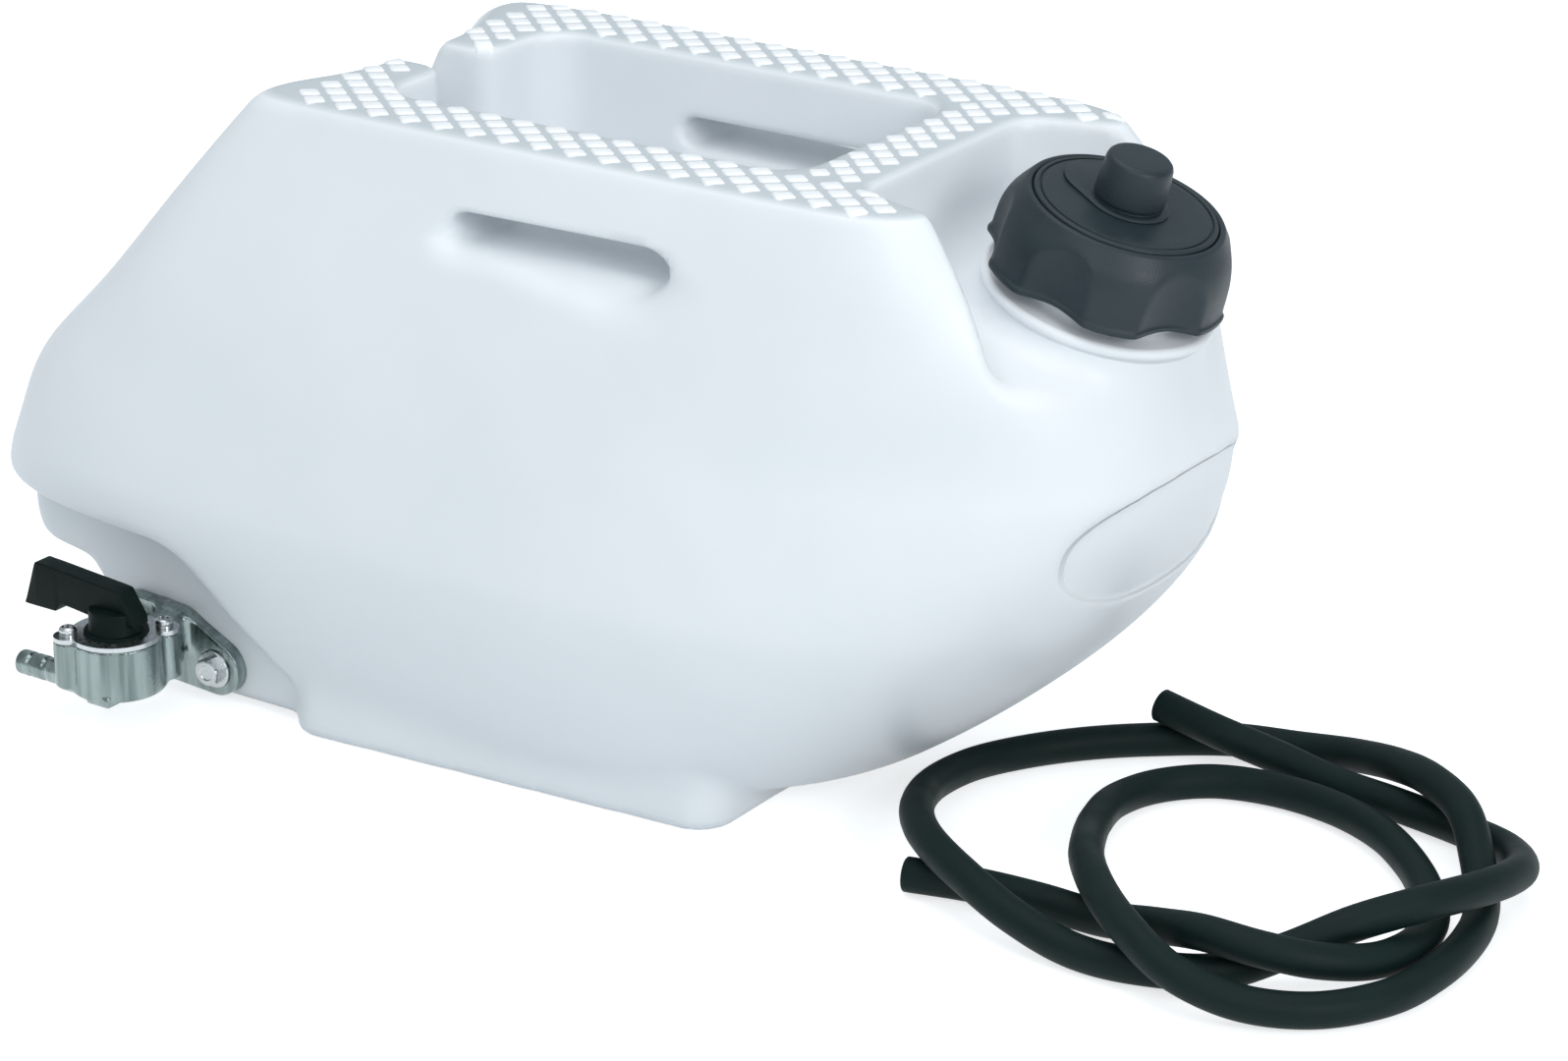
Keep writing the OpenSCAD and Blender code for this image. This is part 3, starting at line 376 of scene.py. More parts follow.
# Natural polyethylene off a sand-blasted mould: white with a cold cast, satin, with an even fine
# grain under a millimetre across and slow swells of a few centimetres in colour and gloss.
polyethylene, at = new_material("moulded_white_polyethylene")
cloud = add(polyethylene, "TexNoise", {"Vector": at.outputs["Object"], "Scale": 22.0, "Detail": 2.0})
grain = add(polyethylene, "TexNoise", {"Vector": at.outputs["Object"], "Scale": 1100.0, "Detail": 2.0})
swell = add(polyethylene, "TexNoise", {"Vector": at.outputs["Object"], "Scale": 45.0, "Detail": 1.0})
tint = add(polyethylene, "Mix", {0: cloud.outputs[0], 6: linear("#e3e8ec"), 7: linear("#edf0f4")},
    data_type="RGBA")
# Painted shade between the tread's pads, greying the top 1.5 mm of the rails
spot = add(polyethylene, "SeparateXYZ", {0: at.outputs["Object"]})
dust_and_painted_shade = add(polyethylene, "MapRange", {0: spot.outputs[2], 1: 0.1985, 2: 0.1998, 3: 0.0, 4: 0.85})
tint = add(polyethylene, "Mix", {0: dust_and_painted_shade.outputs[0], 6: tint.outputs[2], 7: linear("#b9c1c7")},
    data_type="RGBA")
satin = add(polyethylene, "MapRange", {0: cloud.outputs[0], 1: 0.3, 2: 0.7, 3: 0.36, 4: 0.46})
# The sharp edge of the oval on the tail, 1 mm deep: inside where the powers of the distances from its
# middle, over its half sizes, add up to less than one
wide = add(polyethylene, "Math", {0: spot.outputs[1], 1: oval_half / 1000}, operation="DIVIDE")
tall = add(polyethylene, "MapRange", {0: spot.outputs[2], 1: oval_z / 1000,
    2: (oval_z + oval_high) / 1000, 3: 0.0, 4: 1.0}, clamp=False)
powers = []
for distance in (wide, tall):
    distance = add(polyethylene, "Math", {0: distance.outputs[0]}, operation="ABSOLUTE")
    powers.append(add(polyethylene, "Math", {0: distance.outputs[0], 1: oval_power}, operation="POWER"))
total = add(polyethylene, "Math", {0: powers[0].outputs[0], 1: powers[1].outputs[0]}, operation="ADD")
within = add(polyethylene, "MapRange", {0: total.outputs[0], 1: 0.94, 2: 1.04, 3: 1.0, 4: 0.0})
on_tail = add(polyethylene, "Math", {0: spot.outputs[0], 1: oval_x / 1000}, operation="GREATER_THAN")
within = add(polyethylene, "Math", {0: within.outputs[0], 1: on_tail.outputs[0]}, operation="MULTIPLY")
edge = add(polyethylene, "Bump", {"Strength": 1.0, "Distance": 0.001, "Height": within.outputs[0]},
    invert=True)
fine = add(polyethylene, "Bump", {"Strength": 0.35, "Distance": 0.00006, "Height": grain.outputs[0],
    "Normal": edge.outputs[0]})
broad = add(polyethylene, "Bump", {"Strength": 0.3, "Distance": 0.0006, "Height": swell.outputs[0],
    "Normal": fine.outputs[0]})
add(polyethylene, None, {"Base Color": tint.outputs[2], "Roughness": satin.outputs[0], "IOR": 1.51,
    "Normal": broad.outputs[0]})

points, faces = surface_net(shell_field, (-234, -110, -4), (176, 110, 206), 2.2)
shell = put_piece("tank_shell_moulding", points, faces, polyethylene, "tank", crease=80)
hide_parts("tank_shell")

# Tread
# Rows of raised pads moulded on the seat rails, the prongs and the bar behind the well, so that a
# load does not slide. Each is a low square pad set cornerwise, part of the same polyethylene.
pad_high, pad_sunk, pad_clip, pads_front = 0.6, 0.6, 0.12, -112.0

# The same polyethylene on the pads, lighter in tint as painted light for their lit tops, a little
# smoother, with scuffs a few millimetres long
pad_polyethylene_painted_light, at = new_material("white_polyethylene_painted_light_pads")
scuff = add(pad_polyethylene_painted_light, "TexNoise", {"Vector": at.outputs["Object"], "Scale": 260.0, "Detail": 4.0})
tint = add(pad_polyethylene_painted_light, "Mix", {0: scuff.outputs[0], 6: linear("#eef1f5"), 7: linear("#f8fafc")},
    data_type="RGBA")
smooth = add(pad_polyethylene_painted_light, "MapRange", {0: scuff.outputs[0], 1: 0.3, 2: 0.7, 3: 0.28, 4: 0.42})
bump = add(pad_polyethylene_painted_light, "Bump", {"Strength": 0.25, "Distance": 0.00008, "Height": scuff.outputs[0]})
add(pad_polyethylene_painted_light, None, {"Base Color": tint.outputs[2], "Roughness": smooth.outputs[0], "IOR": 1.51,
    "Normal": bump.outputs[0]})


def rail_height(x, y):
    """Height of the rails' top at a place in plan: from just above it, steps down by the field's value."""
    z = np.full(np.shape(x), tank_h + 0.5)
    for _ in range(14):
        z = z - np.clip(shell_field(x, y, z), -1, 1)
    return z


def lattice(x0, y0, across, along, x_range, y_range):
    """Centres of a staggered lattice: two rows a pitch, every second one moved by half a pitch."""
    j, i = np.meshgrid(np.arange(-80, 81), np.arange(-80, 81), indexing="ij")
    spots = np.stack([x0 + across * (i + (j % 2) / 2), y0 + along / 2 * j], axis=-1).reshape(-1, 2)
    x, y = spots.T
    return spots[(x > x_range[0]) & (x < x_range[1]) & (y > y_range[0]) & (y < y_range[1])]


def pads(spots, reach_x, reach_y):
    """One closed pad on each centre: rings of eight points, a square on its corner with clipped
    corners, from a sunk pole up the flank to a flat top. Centres near an edge are left out."""
    c = pad_clip
    corner = np.array([[1, c], [c, 1], [-c, 1], [-1, c], [-1, -c], [-c, -1], [c, -1], [1, -c], [1, c]])
    spread = np.array([0, 1, 1, 0.9, 0.72, 0])
    lift = np.array([-pad_sunk, -pad_sunk, 0.1, 0.72 * pad_high, pad_high, pad_high])
    plan = spread[:, None, None] * corner * [reach_x, reach_y]
    edge = spots[:, None] + np.array([[1, 0], [-1, 0], [0, 1], [0, -1], [0, 0]]) * [reach_x, reach_y]
    level = rail_height(edge[..., 0], edge[..., 1])
    held_up = (level.min(axis=1) > tank_h - 2.6) & (level[:, 4] > tank_h - 1.0)
    kept = spots[held_up & (spots[:, 0] > pads_front)]
    flat = kept[:, None, None] + plan
    z = rail_height(flat[..., 0], flat[..., 1]) + lift[:, None]
    points = np.concatenate([flat, z[..., None]], axis=-1).reshape(-1, 3)
    face, count = grid_faces(len(spread), len(corner)), len(spread) * len(corner)
    return points, np.concatenate([face + count * i for i in range(len(kept))])


# A centre, the two pitches and the limits in plan of each lattice, then the reach of its pads
near = lattice(-76.9, -52.8, 12.25, 10.3, (-130, 116), (-68, -5))
far = lattice(41.0, 52.8, 12.0, 10.8, (-130, 116), (5, 68))
near, far = (rail[(rail[:, 0] < -80) | (np.abs(rail[:, 1]) > 44)] for rail in (near, far))
bar = lattice(71.6, -3.6, 10.6, 10.15, (62, 82), (-44, 44))
rail_pads = [pads(near, 4.1, 3.4), pads(far, 4.1, 3.5), pads(bar, 3.6, 3.4)]
points = np.concatenate([p for p, f in rail_pads])
starts = np.cumsum([0] + [len(p) for p, f in rail_pads[:-1]])
faces = np.concatenate([f + start for (p, f), start in zip(rail_pads, starts)])
put_piece("rail_tread_pads", points, faces, pad_polyethylene_painted_light, "tank", crease=50)

# Filler neck
# The lip, the spout and its two turns of thread, moulded in one with the shell. The spout is cut
# open at the top once the moulding is cold, and its rim is the face that the gasket seals on.


def turned(profile, columns):
    """A profile of radius and height carried once round the upright axis."""
    a = np.linspace(0, 2 * np.pi, columns)
    r, s = profile[:, 0, None], profile[:, 1, None]
    return np.stack(np.broadcast_arrays(r * np.cos(a), r * np.sin(a), s), axis=-1)


def on_neck(points):
    """Points of a piece on the upright axis, leaned with the neck and set on the middle of its lip."""
    c, s = math.cos(neck_lean), math.sin(neck_lean)
    x, y, z = np.moveaxis(points, -1, 0)
    return (np.stack([x * c + z * s, y, z * c - x * s], axis=-1) + neck_at).reshape(-1, 3)


neck_columns, bead_r, thread_base, thread_lead = 97, 1.8, 27.0, 5.0
bead = np.radians(np.arange(-70, 111, 15))
thread_s = np.arange(3.2, 16.9, 0.3)
neck_profile = np.vstack([
    [[30, -6], [32.6, -6]],
    np.stack([neck_r + bead_r * np.cos(bead), bead_r * np.sin(bead)], axis=1),
    [[29, 1.8], [27.4, 2.1]],
    np.stack([np.full(len(thread_s), thread_base), thread_s], axis=1),
    [[26.8, 17.4], [26.4, 17.8], [24.1, 17.8], [23.5, 17.4], [23.5, -38], [30, -38], [30, -6]]])
neck_points = turned(neck_profile, neck_columns)
# The thread stands out where the height along a helix of 5 mm lead falls inside the ridge
bearing = np.linspace(0, 2 * np.pi, neck_columns)
phase = neck_points[..., 2] - 5.8 - thread_lead * bearing / (2 * np.pi)
ridge = np.clip(1.5 - np.abs((phase + thread_lead / 2) % thread_lead - thread_lead / 2) / 0.55, 0, 1)
ridge = ridge * ((phase > -0.4) & (phase < 10.4))
ridge = 1.4 * ridge * (neck_profile[:, 0] == thread_base)[:, None]
neck_points[..., 0] += ridge * np.cos(bearing)
neck_points[..., 1] += ridge * np.sin(bearing)
put_piece("filler_neck_thread", on_neck(neck_points), grid_faces(len(neck_profile), neck_columns),
    polyethylene, "tank")

# Cap
# A screw cap of black glass-filled nylon: a grip with six scallops and a thin rim, a disc pressed
# into its top, and a vent knob on an oval plate. All three turn together and rise with the thread.

# Nylon from a spark-eroded mould: a blue-black matt skin with an even grain of about 0.7 mm, a
# little paler and duller where hands have worn it.
nylon, at = new_material("spark_grained_black_nylon")
grain = add(nylon, "TexNoise", {"Vector": at.outputs["Object"], "Scale": 1500.0, "Detail": 2.0})
worn = add(nylon, "TexNoise", {"Vector": at.outputs["Object"], "Scale": 90.0, "Detail": 4.0})
tint = add(nylon, "Mix", {0: worn.outputs[0], 6: linear("#152127"), 7: linear("#24343b")},
    data_type="RGBA")
matt = add(nylon, "MapRange", {0: worn.outputs[0], 1: 0.3, 2: 0.7, 3: 0.40, 4: 0.52})
bump = add(nylon, "Bump", {"Strength": 0.5, "Distance": 0.00012, "Height": grain.outputs[0]})
add(nylon, None, {"Base Color": tint.outputs[2], "Roughness": matt.outputs[0], "IOR": 1.53,
    "Specular IOR Level": 0.36, "Normal": bump.outputs[0]})

# The grip's wall from the rim to the crown as radius, height and how far the rim's lip stands out
wall = np.array([
    [36.0, 6.0, 0.3], [36.0, 6.2, 0.6], [36.0, 6.55, 0.75], [36.0, 7.5, 0.75], [36.0, 7.85, 0.6],
    [36.0, 8.1, 0.25], [36.0, 8.5, 0.05], [35.95, 9.2, 0], [35.9, 10.1, 0], [35.85, 11.5, 0],
    [35.8, 12.9, 0], [35.7, 14.3, 0], [35.6, 15.7, 0], [35.45, 17.05, 0], [35.25, 18.15, 0],
    [35.0, 19.25, 0], [34.7, 20.4, 0], [34.35, 21.5, 0], [33.9, 22.6, 0], [33.4, 23.6, 0],
    [32.8, 24.6, 0], [32.15, 25.6, 0], [31.5, 26.55, 0], [30.9, 27.4, 0], [30.4, 28.1, 0],
    [29.95, 28.75, 0], [29.6, 29.2, 0], [29.2, 29.45, 0], [28.6, 29.5, 0], [28.1, 29.35, 0],
    [27.8, 29.0, 0], [27.75, 27.3, 0], [0, 27.3, 0]])
inside = np.array([[0, 24.0, 0], [30.95, 24.0, 0], [30.95, 7.2, 0], [31.2, 6.2, 0], [31.6, 6.0, 0]])
rows = np.vstack([inside, wall])
spread = np.linspace(0, 2 * np.pi, 433)
scallop_r, scallop_at, scallop_turn = 30.0, 62.4, 86
off = np.radians((np.degrees(spread) + scallop_turn + 30) % 60 - 30)
arch = 1.2 * np.exp(-(off / 0.24) ** 2) * np.clip(1 - (rows[:, 1:2] - 6) / 6, 0, 1)
tall = rows[:, 1:2] + np.where(np.arange(len(rows))[:, None] < 3, 0, arch)
# A scallop is an upright round cut of 30 mm radius, 3.6 mm deep: a ray ends where it enters the cut
sideways = scallop_at * np.sin(off)
cut = scallop_at * np.cos(off) - np.sqrt(np.maximum(scallop_r**2 - sideways**2, 0))
cut = np.where(np.abs(sideways) < scallop_r, cut, 60)
radius = smooth_min(np.broadcast_to(rows[:, 0:1], tall.shape), cut, 0.9) + rows[:, 2:3]
in_bore = np.arange(len(rows))[:, None] < len(inside)
radius = np.where(in_bore, np.minimum(rows[:, 0:1], radius - 0.4), radius)
radius = np.where(rows[:, 0:1] < 28.0, rows[:, 0:1], np.maximum(radius, 0))
grip_points = np.broadcast_arrays(radius * np.cos(spread), radius * np.sin(spread), tall)
grip_points = np.stack(grip_points, axis=-1)
grip = put_piece("cap_grip_scalloped", on_neck(grip_points), grid_faces(len(rows), len(spread)), nylon,
    "cap")
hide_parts("cap_grip")

# The disc has a rounded edge and a ring groove just inside it
disc_profile = np.array([
    [0, 27.4], [27.1, 27.4], [27.45, 27.7], [27.5, 29.2], [27.3, 29.7], [26.9, 29.95],
    [26.4, 30.02], [26.0, 29.98], [25.8, 29.5], [25.4, 29.5], [25.2, 30.0], [24.8, 30.1],
    [22, 30.15], [16, 30.25], [8, 30.3], [0, 30.3]])
disc_columns = 145
disc_points = turned(disc_profile, disc_columns)
disc = put_piece("cap_top_disc", on_neck(disc_points), grid_faces(len(disc_profile), disc_columns),
    nylon, "cap", crease=45)
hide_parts("cap_disc")

# The knob tapers a little and stands on a thin plate with round ends that reaches to one side
knob_profile = np.array([
    [0, 30.1], [12.2, 30.1], [12.4, 30.4], [12.4, 30.9], [12.2, 31.1], [9.8, 31.15], [9.7, 31.8],
    [10.2, 32.0], [10.5, 32.5], [10.5, 33.2], [10.4, 35.5], [10.25, 38.5], [10.1, 41.5],
    [9.95, 43.2], [9.6, 44.2], [9.0, 44.8], [8.2, 45.08], [7.0, 45.15], [0, 45.15]])
knob_columns = 97
plate_r, plate_reach, plate_turn = 12.4, 11.0, math.radians(158)
knob_points = turned(knob_profile, knob_columns)
lean = np.abs((np.linspace(0, 2 * np.pi, knob_columns) - plate_turn + np.pi) % (2 * np.pi) - np.pi)
sideways = plate_reach * np.sin(lean)
flank = plate_r / np.maximum(np.sin(lean), 1e-6)
round_end = plate_reach * np.cos(lean) + np.sqrt(np.maximum(plate_r**2 - sideways**2, 0))
long_side = np.where(plate_r * np.cos(lean) < sideways, flank, round_end)
outline = np.where(np.cos(lean) <= 0, plate_r, long_side) / plate_r
stretch = np.where((knob_profile[:, 0] > 12)[:, None], outline, 1)
knob_points[..., :2] *= stretch[..., None]
knob = put_piece("cap_vent_knob", on_neck(knob_points), grid_faces(len(knob_profile), knob_columns),
    nylon, "cap", crease=45)
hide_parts("vent_knob")

# Fuel valve body
# An aluminium die casting, bolted through its oval flange to brass inserts in the shell. The cup
# holds the rotor, two ears take the cover's screws, and a grooved spigot carries the hose.
valve_at = np.array([-148.5, -112.5])
cup_r, cup_low, cup_top, chamber_r, chamber_z = 15.25, 13.5, 30.5, 12.5, 21.5
ear_r, ear_low, ear_top, ear_turn, flange_lean = 4.8, 15.2, 30.45, math.radians(48), math.radians(15)
ear = 15.0 * np.array([math.cos(ear_turn), math.sin(ear_turn)])
flange_dir = np.array([math.cos(flange_lean), -math.sin(flange_lean)])
flange_z, flange_back, flange_face = 18.0, -81.0, -86.0
flange_mid_r, flange_end_r, bolt_out = 12.6, 9.2, 17.0
spigot_y, spigot_z, spigot_r, spigot_bore_r, spigot_tip = -119.0, 15.7, 4.0, 2.5, -183.25
groove_x, groove_deep = (-171.6, -177.8), 0.55


def valve_field(x, y, z):
    """Signed distance to the casting: cup, ears, flange, neck and grooved spigot joined with small
    fillets, then the rotor's chamber and the spigot's bore cut out."""
    u, v = x - valve_at[0], y - valve_at[1]
    out = np.hypot(u, v)
    d = smooth_max(smooth_max(out - cup_r + 0.012 * (z - cup_low), z - cup_top, 0.6), cup_low - z, 1.4)
    for sign in (-1, 1):
        lug = np.hypot(u - sign * ear[0], v - sign * ear[1]) - ear_r
        d = smooth_min(d, smooth_max(smooth_max(lug, z - ear_top, 0.6), ear_low - z, 1.2), 1.4)
    # Flange against the shell, leaned 15 degrees: a round middle and two smaller round ends, with
    # straight edges that touch them, and the neck that joins it to the cup
    across = np.abs(u * flange_dir[0] + (z - flange_z) * flange_dir[1])
    up = np.abs((z - flange_z) * flange_dir[0] - u * flange_dir[1])
    slope = (flange_mid_r - flange_end_r) / bolt_out
    level = math.sqrt(1 - slope**2)
    place = level * across - slope * up
    straight = level * up + slope * across - flange_mid_r
    end_round = np.hypot(across - bolt_out, up) - flange_end_r
    outer = np.where(place > level * bolt_out, end_round, straight)
    plate = np.where(place < 0, np.hypot(across, up) - flange_mid_r, outer)
    d = smooth_min(d, smooth_max(smooth_max(plate, flange_face - y, 1.0), y - flange_back, 0.6), 1.6)
    neck = smooth_max(np.hypot(u, z - flange_z) - 5.6, np.maximum(y + 82, -v), 1)
    web = smooth_max(np.abs(u) - 6, np.abs(z - 23.6) - 5.8, 2.5)
    d = smooth_min(d, smooth_min(neck, smooth_max(web, np.maximum(y + 84, -v), 1), 2), 4)
    # Spigot with its thicker root, which leaves the cup off its axis, and a short stub under the cup
    far = np.hypot(y - spigot_y, z - spigot_z)
    d = smooth_min(d, smooth_max(far - 5.0, np.maximum(-165 - x, u), 0.8), 1.5)
    groove = groove_deep * sum(step_up(1.0, 0.5, np.abs(x - at_x)) for at_x in groove_x)
    d = smooth_min(d, smooth_max(far - spigot_r + groove, np.maximum(spigot_tip - x, x + 160), 0.9), 0.6)
    stub = smooth_max(np.abs(u - 3.5) - 4.5, np.abs(v + 11.25) - 3, 0.6)
    d = smooth_min(d, smooth_max(stub, np.abs(z - 13.7) - 1.5, 0.6), 0.8)
    # Chamber of the rotor and the spigot's bore
    d = smooth_max(d, -np.maximum(out - chamber_r, chamber_z - z), 0.4)
    return smooth_max(d, -np.maximum(far - spigot_bore_r, x + 150), 0.4)


# Aluminium alloy as it leaves the die: bright grey satin metal with a fine orange-peel skin. Its colour
# carries upright painted highlight streaks about 4 mm wide, the paler ones a little less sharp in their
# reflections.
casting, at = new_material("die_cast_aluminium_alloy")
drawn = add(casting, "Mapping", {"Vector": at.outputs["Object"], "Scale": (1.0, 1.0, 0.06)})
painted_highlight_streaks = add(casting, "TexNoise", {"Vector": drawn.outputs[0], "Scale": 260.0, "Detail": 4.0})
peel = add(casting, "TexNoise", {"Vector": at.outputs["Object"], "Scale": 900.0, "Detail": 2.0})
# The paler upright streaks in the tint are painted highlights
streak = add(casting, "MapRange", {0: painted_highlight_streaks.outputs[0], 1: 0.3, 2: 0.72, 3: 0.0, 4: 1.0})
tint = add(casting, "Mix", {0: streak.outputs[0], 6: linear("#6b7775"), 7: linear("#a3afae")},
    data_type="RGBA")
shine = add(casting, "MapRange", {0: painted_highlight_streaks.outputs[0], 1: 0.3, 2: 0.7, 3: 0.18, 4: 0.32})
bump = add(casting, "Bump", {"Strength": 0.4, "Distance": 0.00015, "Height": peel.outputs[0]})
add(casting, None, {"Base Color": tint.outputs[2], "Metallic": 1.0, "Roughness": shine.outputs[0],
    "Normal": bump.outputs[0]})

points, faces = surface_net(valve_field, (-186, -132, 2.5), (-119, -79.5, 32.5), 0.6)
valve = put_piece("petcock_body_casting", points, faces, casting, "tank", crease=50)
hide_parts("petcock_body")

# Valve lever
# Moulded in black acetal in one piece with its rotor: a stepped hub on the cover and a blade that
# rises towards a deeper finger tip. It turns a quarter turn between shut and open.

# Acetal off a smooth mould: black and satin, with a grain of 0.7 mm and smears of handling about 5 mm
# across that dull it.
acetal, at = new_material("moulded_black_acetal")
smear = add(acetal, "TexNoise", {"Vector": at.outputs["Object"], "Scale": 180.0, "Detail": 3.0})
grain = add(acetal, "TexNoise", {"Vector": at.outputs["Object"], "Scale": 1400.0, "Detail": 1.0})
tint = add(acetal, "Mix", {0: smear.outputs[0], 6: linear("#030f0d"), 7: linear("#081a17")},
    data_type="RGBA")
satin = add(acetal, "MapRange", {0: smear.outputs[0], 1: 0.3, 2: 0.7, 3: 0.42, 4: 0.55})
bump = add(acetal, "Bump", {"Strength": 0.3, "Distance": 0.0001, "Height": grain.outputs[0]})
add(acetal, None, {"Base Color": tint.outputs[2], "Roughness": satin.outputs[0], "IOR": 1.48,
    "Specular IOR Level": 0.12, "Normal": bump.outputs[0]})

lever_z, blade_round, hub_columns = 36.05, 0.5, 65
# Stations of the blade along its length: place, underside, top and half width
blade = np.array([
    [10.4, 0.5, 2.4, 3.1], [10.3, 0.1, 2.9, 3.45], [9.0, 0.05, 4.8, 3.5], [7.4, 0.05, 7.2, 3.5],
    [5.6, 0.05, 9.9, 3.5], [5.1, 0.05, 10.75, 3.5], [4.6, 0.05, 11.0, 3.5], [2, 0.05, 11.25, 3.5],
    [0, 0.05, 11.4, 3.5], [-8.5, 0.3, 12.0, 3.5], [-15, 1.0, 12.5, 3.5], [-20.0, 1.5, 12.9, 3.5],
    [-20.6, 1.4, 12.95, 3.5], [-21.4, 0.0, 13.0, 3.5], [-22.2, -1.45, 13.05, 3.5],
    [-22.7, -1.6, 13.1, 3.5], [-26, -1.6, 13.3, 3.5], [-29.4, -1.6, 13.5, 3.5],
    [-30.0, -1.6, 13.3, 3.5], [-30.35, -1.6, 12.6, 3.5], [-32.4, -1.58, 6.3, 3.5],
    [-34.2, -1.55, 0.9, 3.5], [-34.9, -1.5, -0.6, 3.4], [-35.0, -1.3, -0.9, 3.1]])
# Across its length the blade is a rectangle whose corners are rounded by half a millimetre
quarter = np.arange(4)[:, None] * 90
bend = np.radians(np.append((quarter + np.array([0, 22.5, 45, 67.5, 90])).ravel(), 0))
sign_y = np.append(np.repeat([1, -1, -1, 1], 5), 1)
sign_z = np.append(np.repeat([1, 1, -1, -1], 5), 1)
mid, tall = (blade[:, 1:2] + blade[:, 2:3]) / 2, (blade[:, 2:3] - blade[:, 1:2]) / 2
soft = np.minimum(blade_round, 0.9 * tall)
blade_points = np.stack(np.broadcast_arrays(blade[:, 0:1],
    sign_y * (blade[:, 3:4] - soft) + soft * np.cos(bend),
    mid + sign_z * (tall - soft) + soft * np.sin(bend)), axis=-1)
tips = blade_points[[0, -1]].mean(axis=1, keepdims=True)
first, last = (np.repeat(tip, len(bend), axis=1) for tip in (tips[:1], tips[1:]))
blade_points = np.concatenate([first, blade_points, last])
hub_profile = np.array([
    [0, -12.3], [12.1, -12.3], [12.2, -12.1], [12.2, -9.35], [10.2, -9.3], [10.2, -3.4],
    [10.1, -3.1], [9.7, -2.95], [8.7, -2.9], [8.5, -2.6], [8.45, 3.2], [8.2, 3.8], [7.5, 4.05],
    [0, 4.05]])
hub_points = turned(hub_profile, hub_columns)
points = np.concatenate([blade_points.reshape(-1, 3), hub_points.reshape(-1, 3)]) + [*valve_at, lever_z]
blade_faces = grid_faces(len(blade_points), len(bend))
hub_faces = grid_faces(len(hub_profile), hub_columns) + len(blade_points) * len(bend)
lever = put_piece("petcock_lever_moulding", points, np.concatenate([blade_faces, hub_faces]), acetal,
    "lever", crease=45)
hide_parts("petcock_lever")

# Flange bolts
# Two zinc-plated M6 hexagon flange bolts, cold headed and thread rolled, through the valve's flange
# into the inserts. The collar under the head is forged in one with it.
bolt_profile = np.array([
    [0, -12.9], [2.2, -12.9], [2.9, -12.2], [2.9, 0], [6.0, 0], [6.2, 0.15], [6.2, 0.7], [5.9, 1.1],
    [5.0, 1.25], [5.0, 1.3], [5.0, 2.2], [5.0, 3.4], [5.0, 3.9], [4.2, 4.3], [3.7, 4.4], [2.6, 4.4],
    [2.3, 4.1], [0, 4.1]])
# Rows of the profile at the hexagon's mark of 5 mm take its outline in place of a circle
bolt_columns, hexagon_mark, flats_half = 73, 5.0, 4.0
bolt_points = turned(bolt_profile, bolt_columns)
bearing = np.degrees(np.linspace(0, 2 * np.pi, bolt_columns))
# The hexagon keeps its flats 4 mm from the axis, and the chamfer above takes its corners off
flats = flats_half / np.cos(np.radians((bearing + 30) % 60 - 30))
limit = 4.15 + (4.4 - bolt_profile[:, 1:2]) * 1.7
marked = bolt_profile[:, 0:1] == hexagon_mark
hexagon = np.where(marked, np.minimum(flats, limit), bolt_profile[:, 0:1])
bolt_points[..., 0] = hexagon * np.cos(np.radians(bearing))
bolt_points[..., 1] = hexagon * np.sin(np.radians(bearing))


def on_flange(points, side):
    """Points of a bolt on the upright axis, laid along -Y on one end of the flange's outer face."""
    x, h, z = np.moveaxis(points, -1, 0)
    x = x + bolt_out * side
    return np.stack([valve_at[0] + x * flange_dir[0] - h * flange_dir[1], flange_face - 0.05 - z,
        flange_z + x * flange_dir[1] + h * flange_dir[0]], axis=-1).reshape(-1, 3)


# Bright zinc plate over rolled steel: pale, faintly blue, streaked by handling every millimetre or so
zinc, at = new_material("bright_zinc_plate")
streak = add(zinc, "TexNoise", {"Vector": at.outputs["Object"], "Scale": 700.0, "Detail": 3.0})
tint = add(zinc, "Mix", {0: streak.outputs[0], 6: linear("#a9aeb0"), 7: linear("#d2d5d6")},
    data_type="RGBA")
shine = add(zinc, "MapRange", {0: streak.outputs[0], 1: 0.3, 2: 0.7, 3: 0.18, 4: 0.34})
bump = add(zinc, "Bump", {"Strength": 0.25, "Distance": 0.00008, "Height": streak.outputs[0]})
add(zinc, None, {"Base Color": tint.outputs[2], "Metallic": 1.0, "Roughness": shine.outputs[0],
    "Normal": bump.outputs[0]})

face = grid_faces(len(bolt_profile), bolt_columns)
pair = np.concatenate([on_flange(bolt_points, side) for side in (-1, 1)])
faces = np.concatenate([face, face + len(bolt_profile) * bolt_columns])
bolts = put_piece("flange_bolt_pair", pair, faces, zinc, "tank", crease=35)
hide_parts("flange_bolts")

# Cover screws
# Two M3 pan-head screws with a cross recess, zinc plated, on plain washers. They clamp the pressed
# cover plate that keeps the rotor and its spring in the cup.
head_z, head_r, screw_columns = 32.95, 2.85, 65
cross_half, cross_long, cross_deep = 0.45, 1.65, 1.0
ring = np.array([0.01, 0.2, 0.35, 0.5, 0.7, 0.9, 1.1, 1.3, 1.5, 1.62, 1.75, 1.9, 2.1, 2.3, 2.5,
    2.65, 2.78, head_r])[:, None]
bearing = np.linspace(0, 2 * np.pi, screw_columns)
dome = 2.2 - 0.9 * (ring / head_r) ** 4
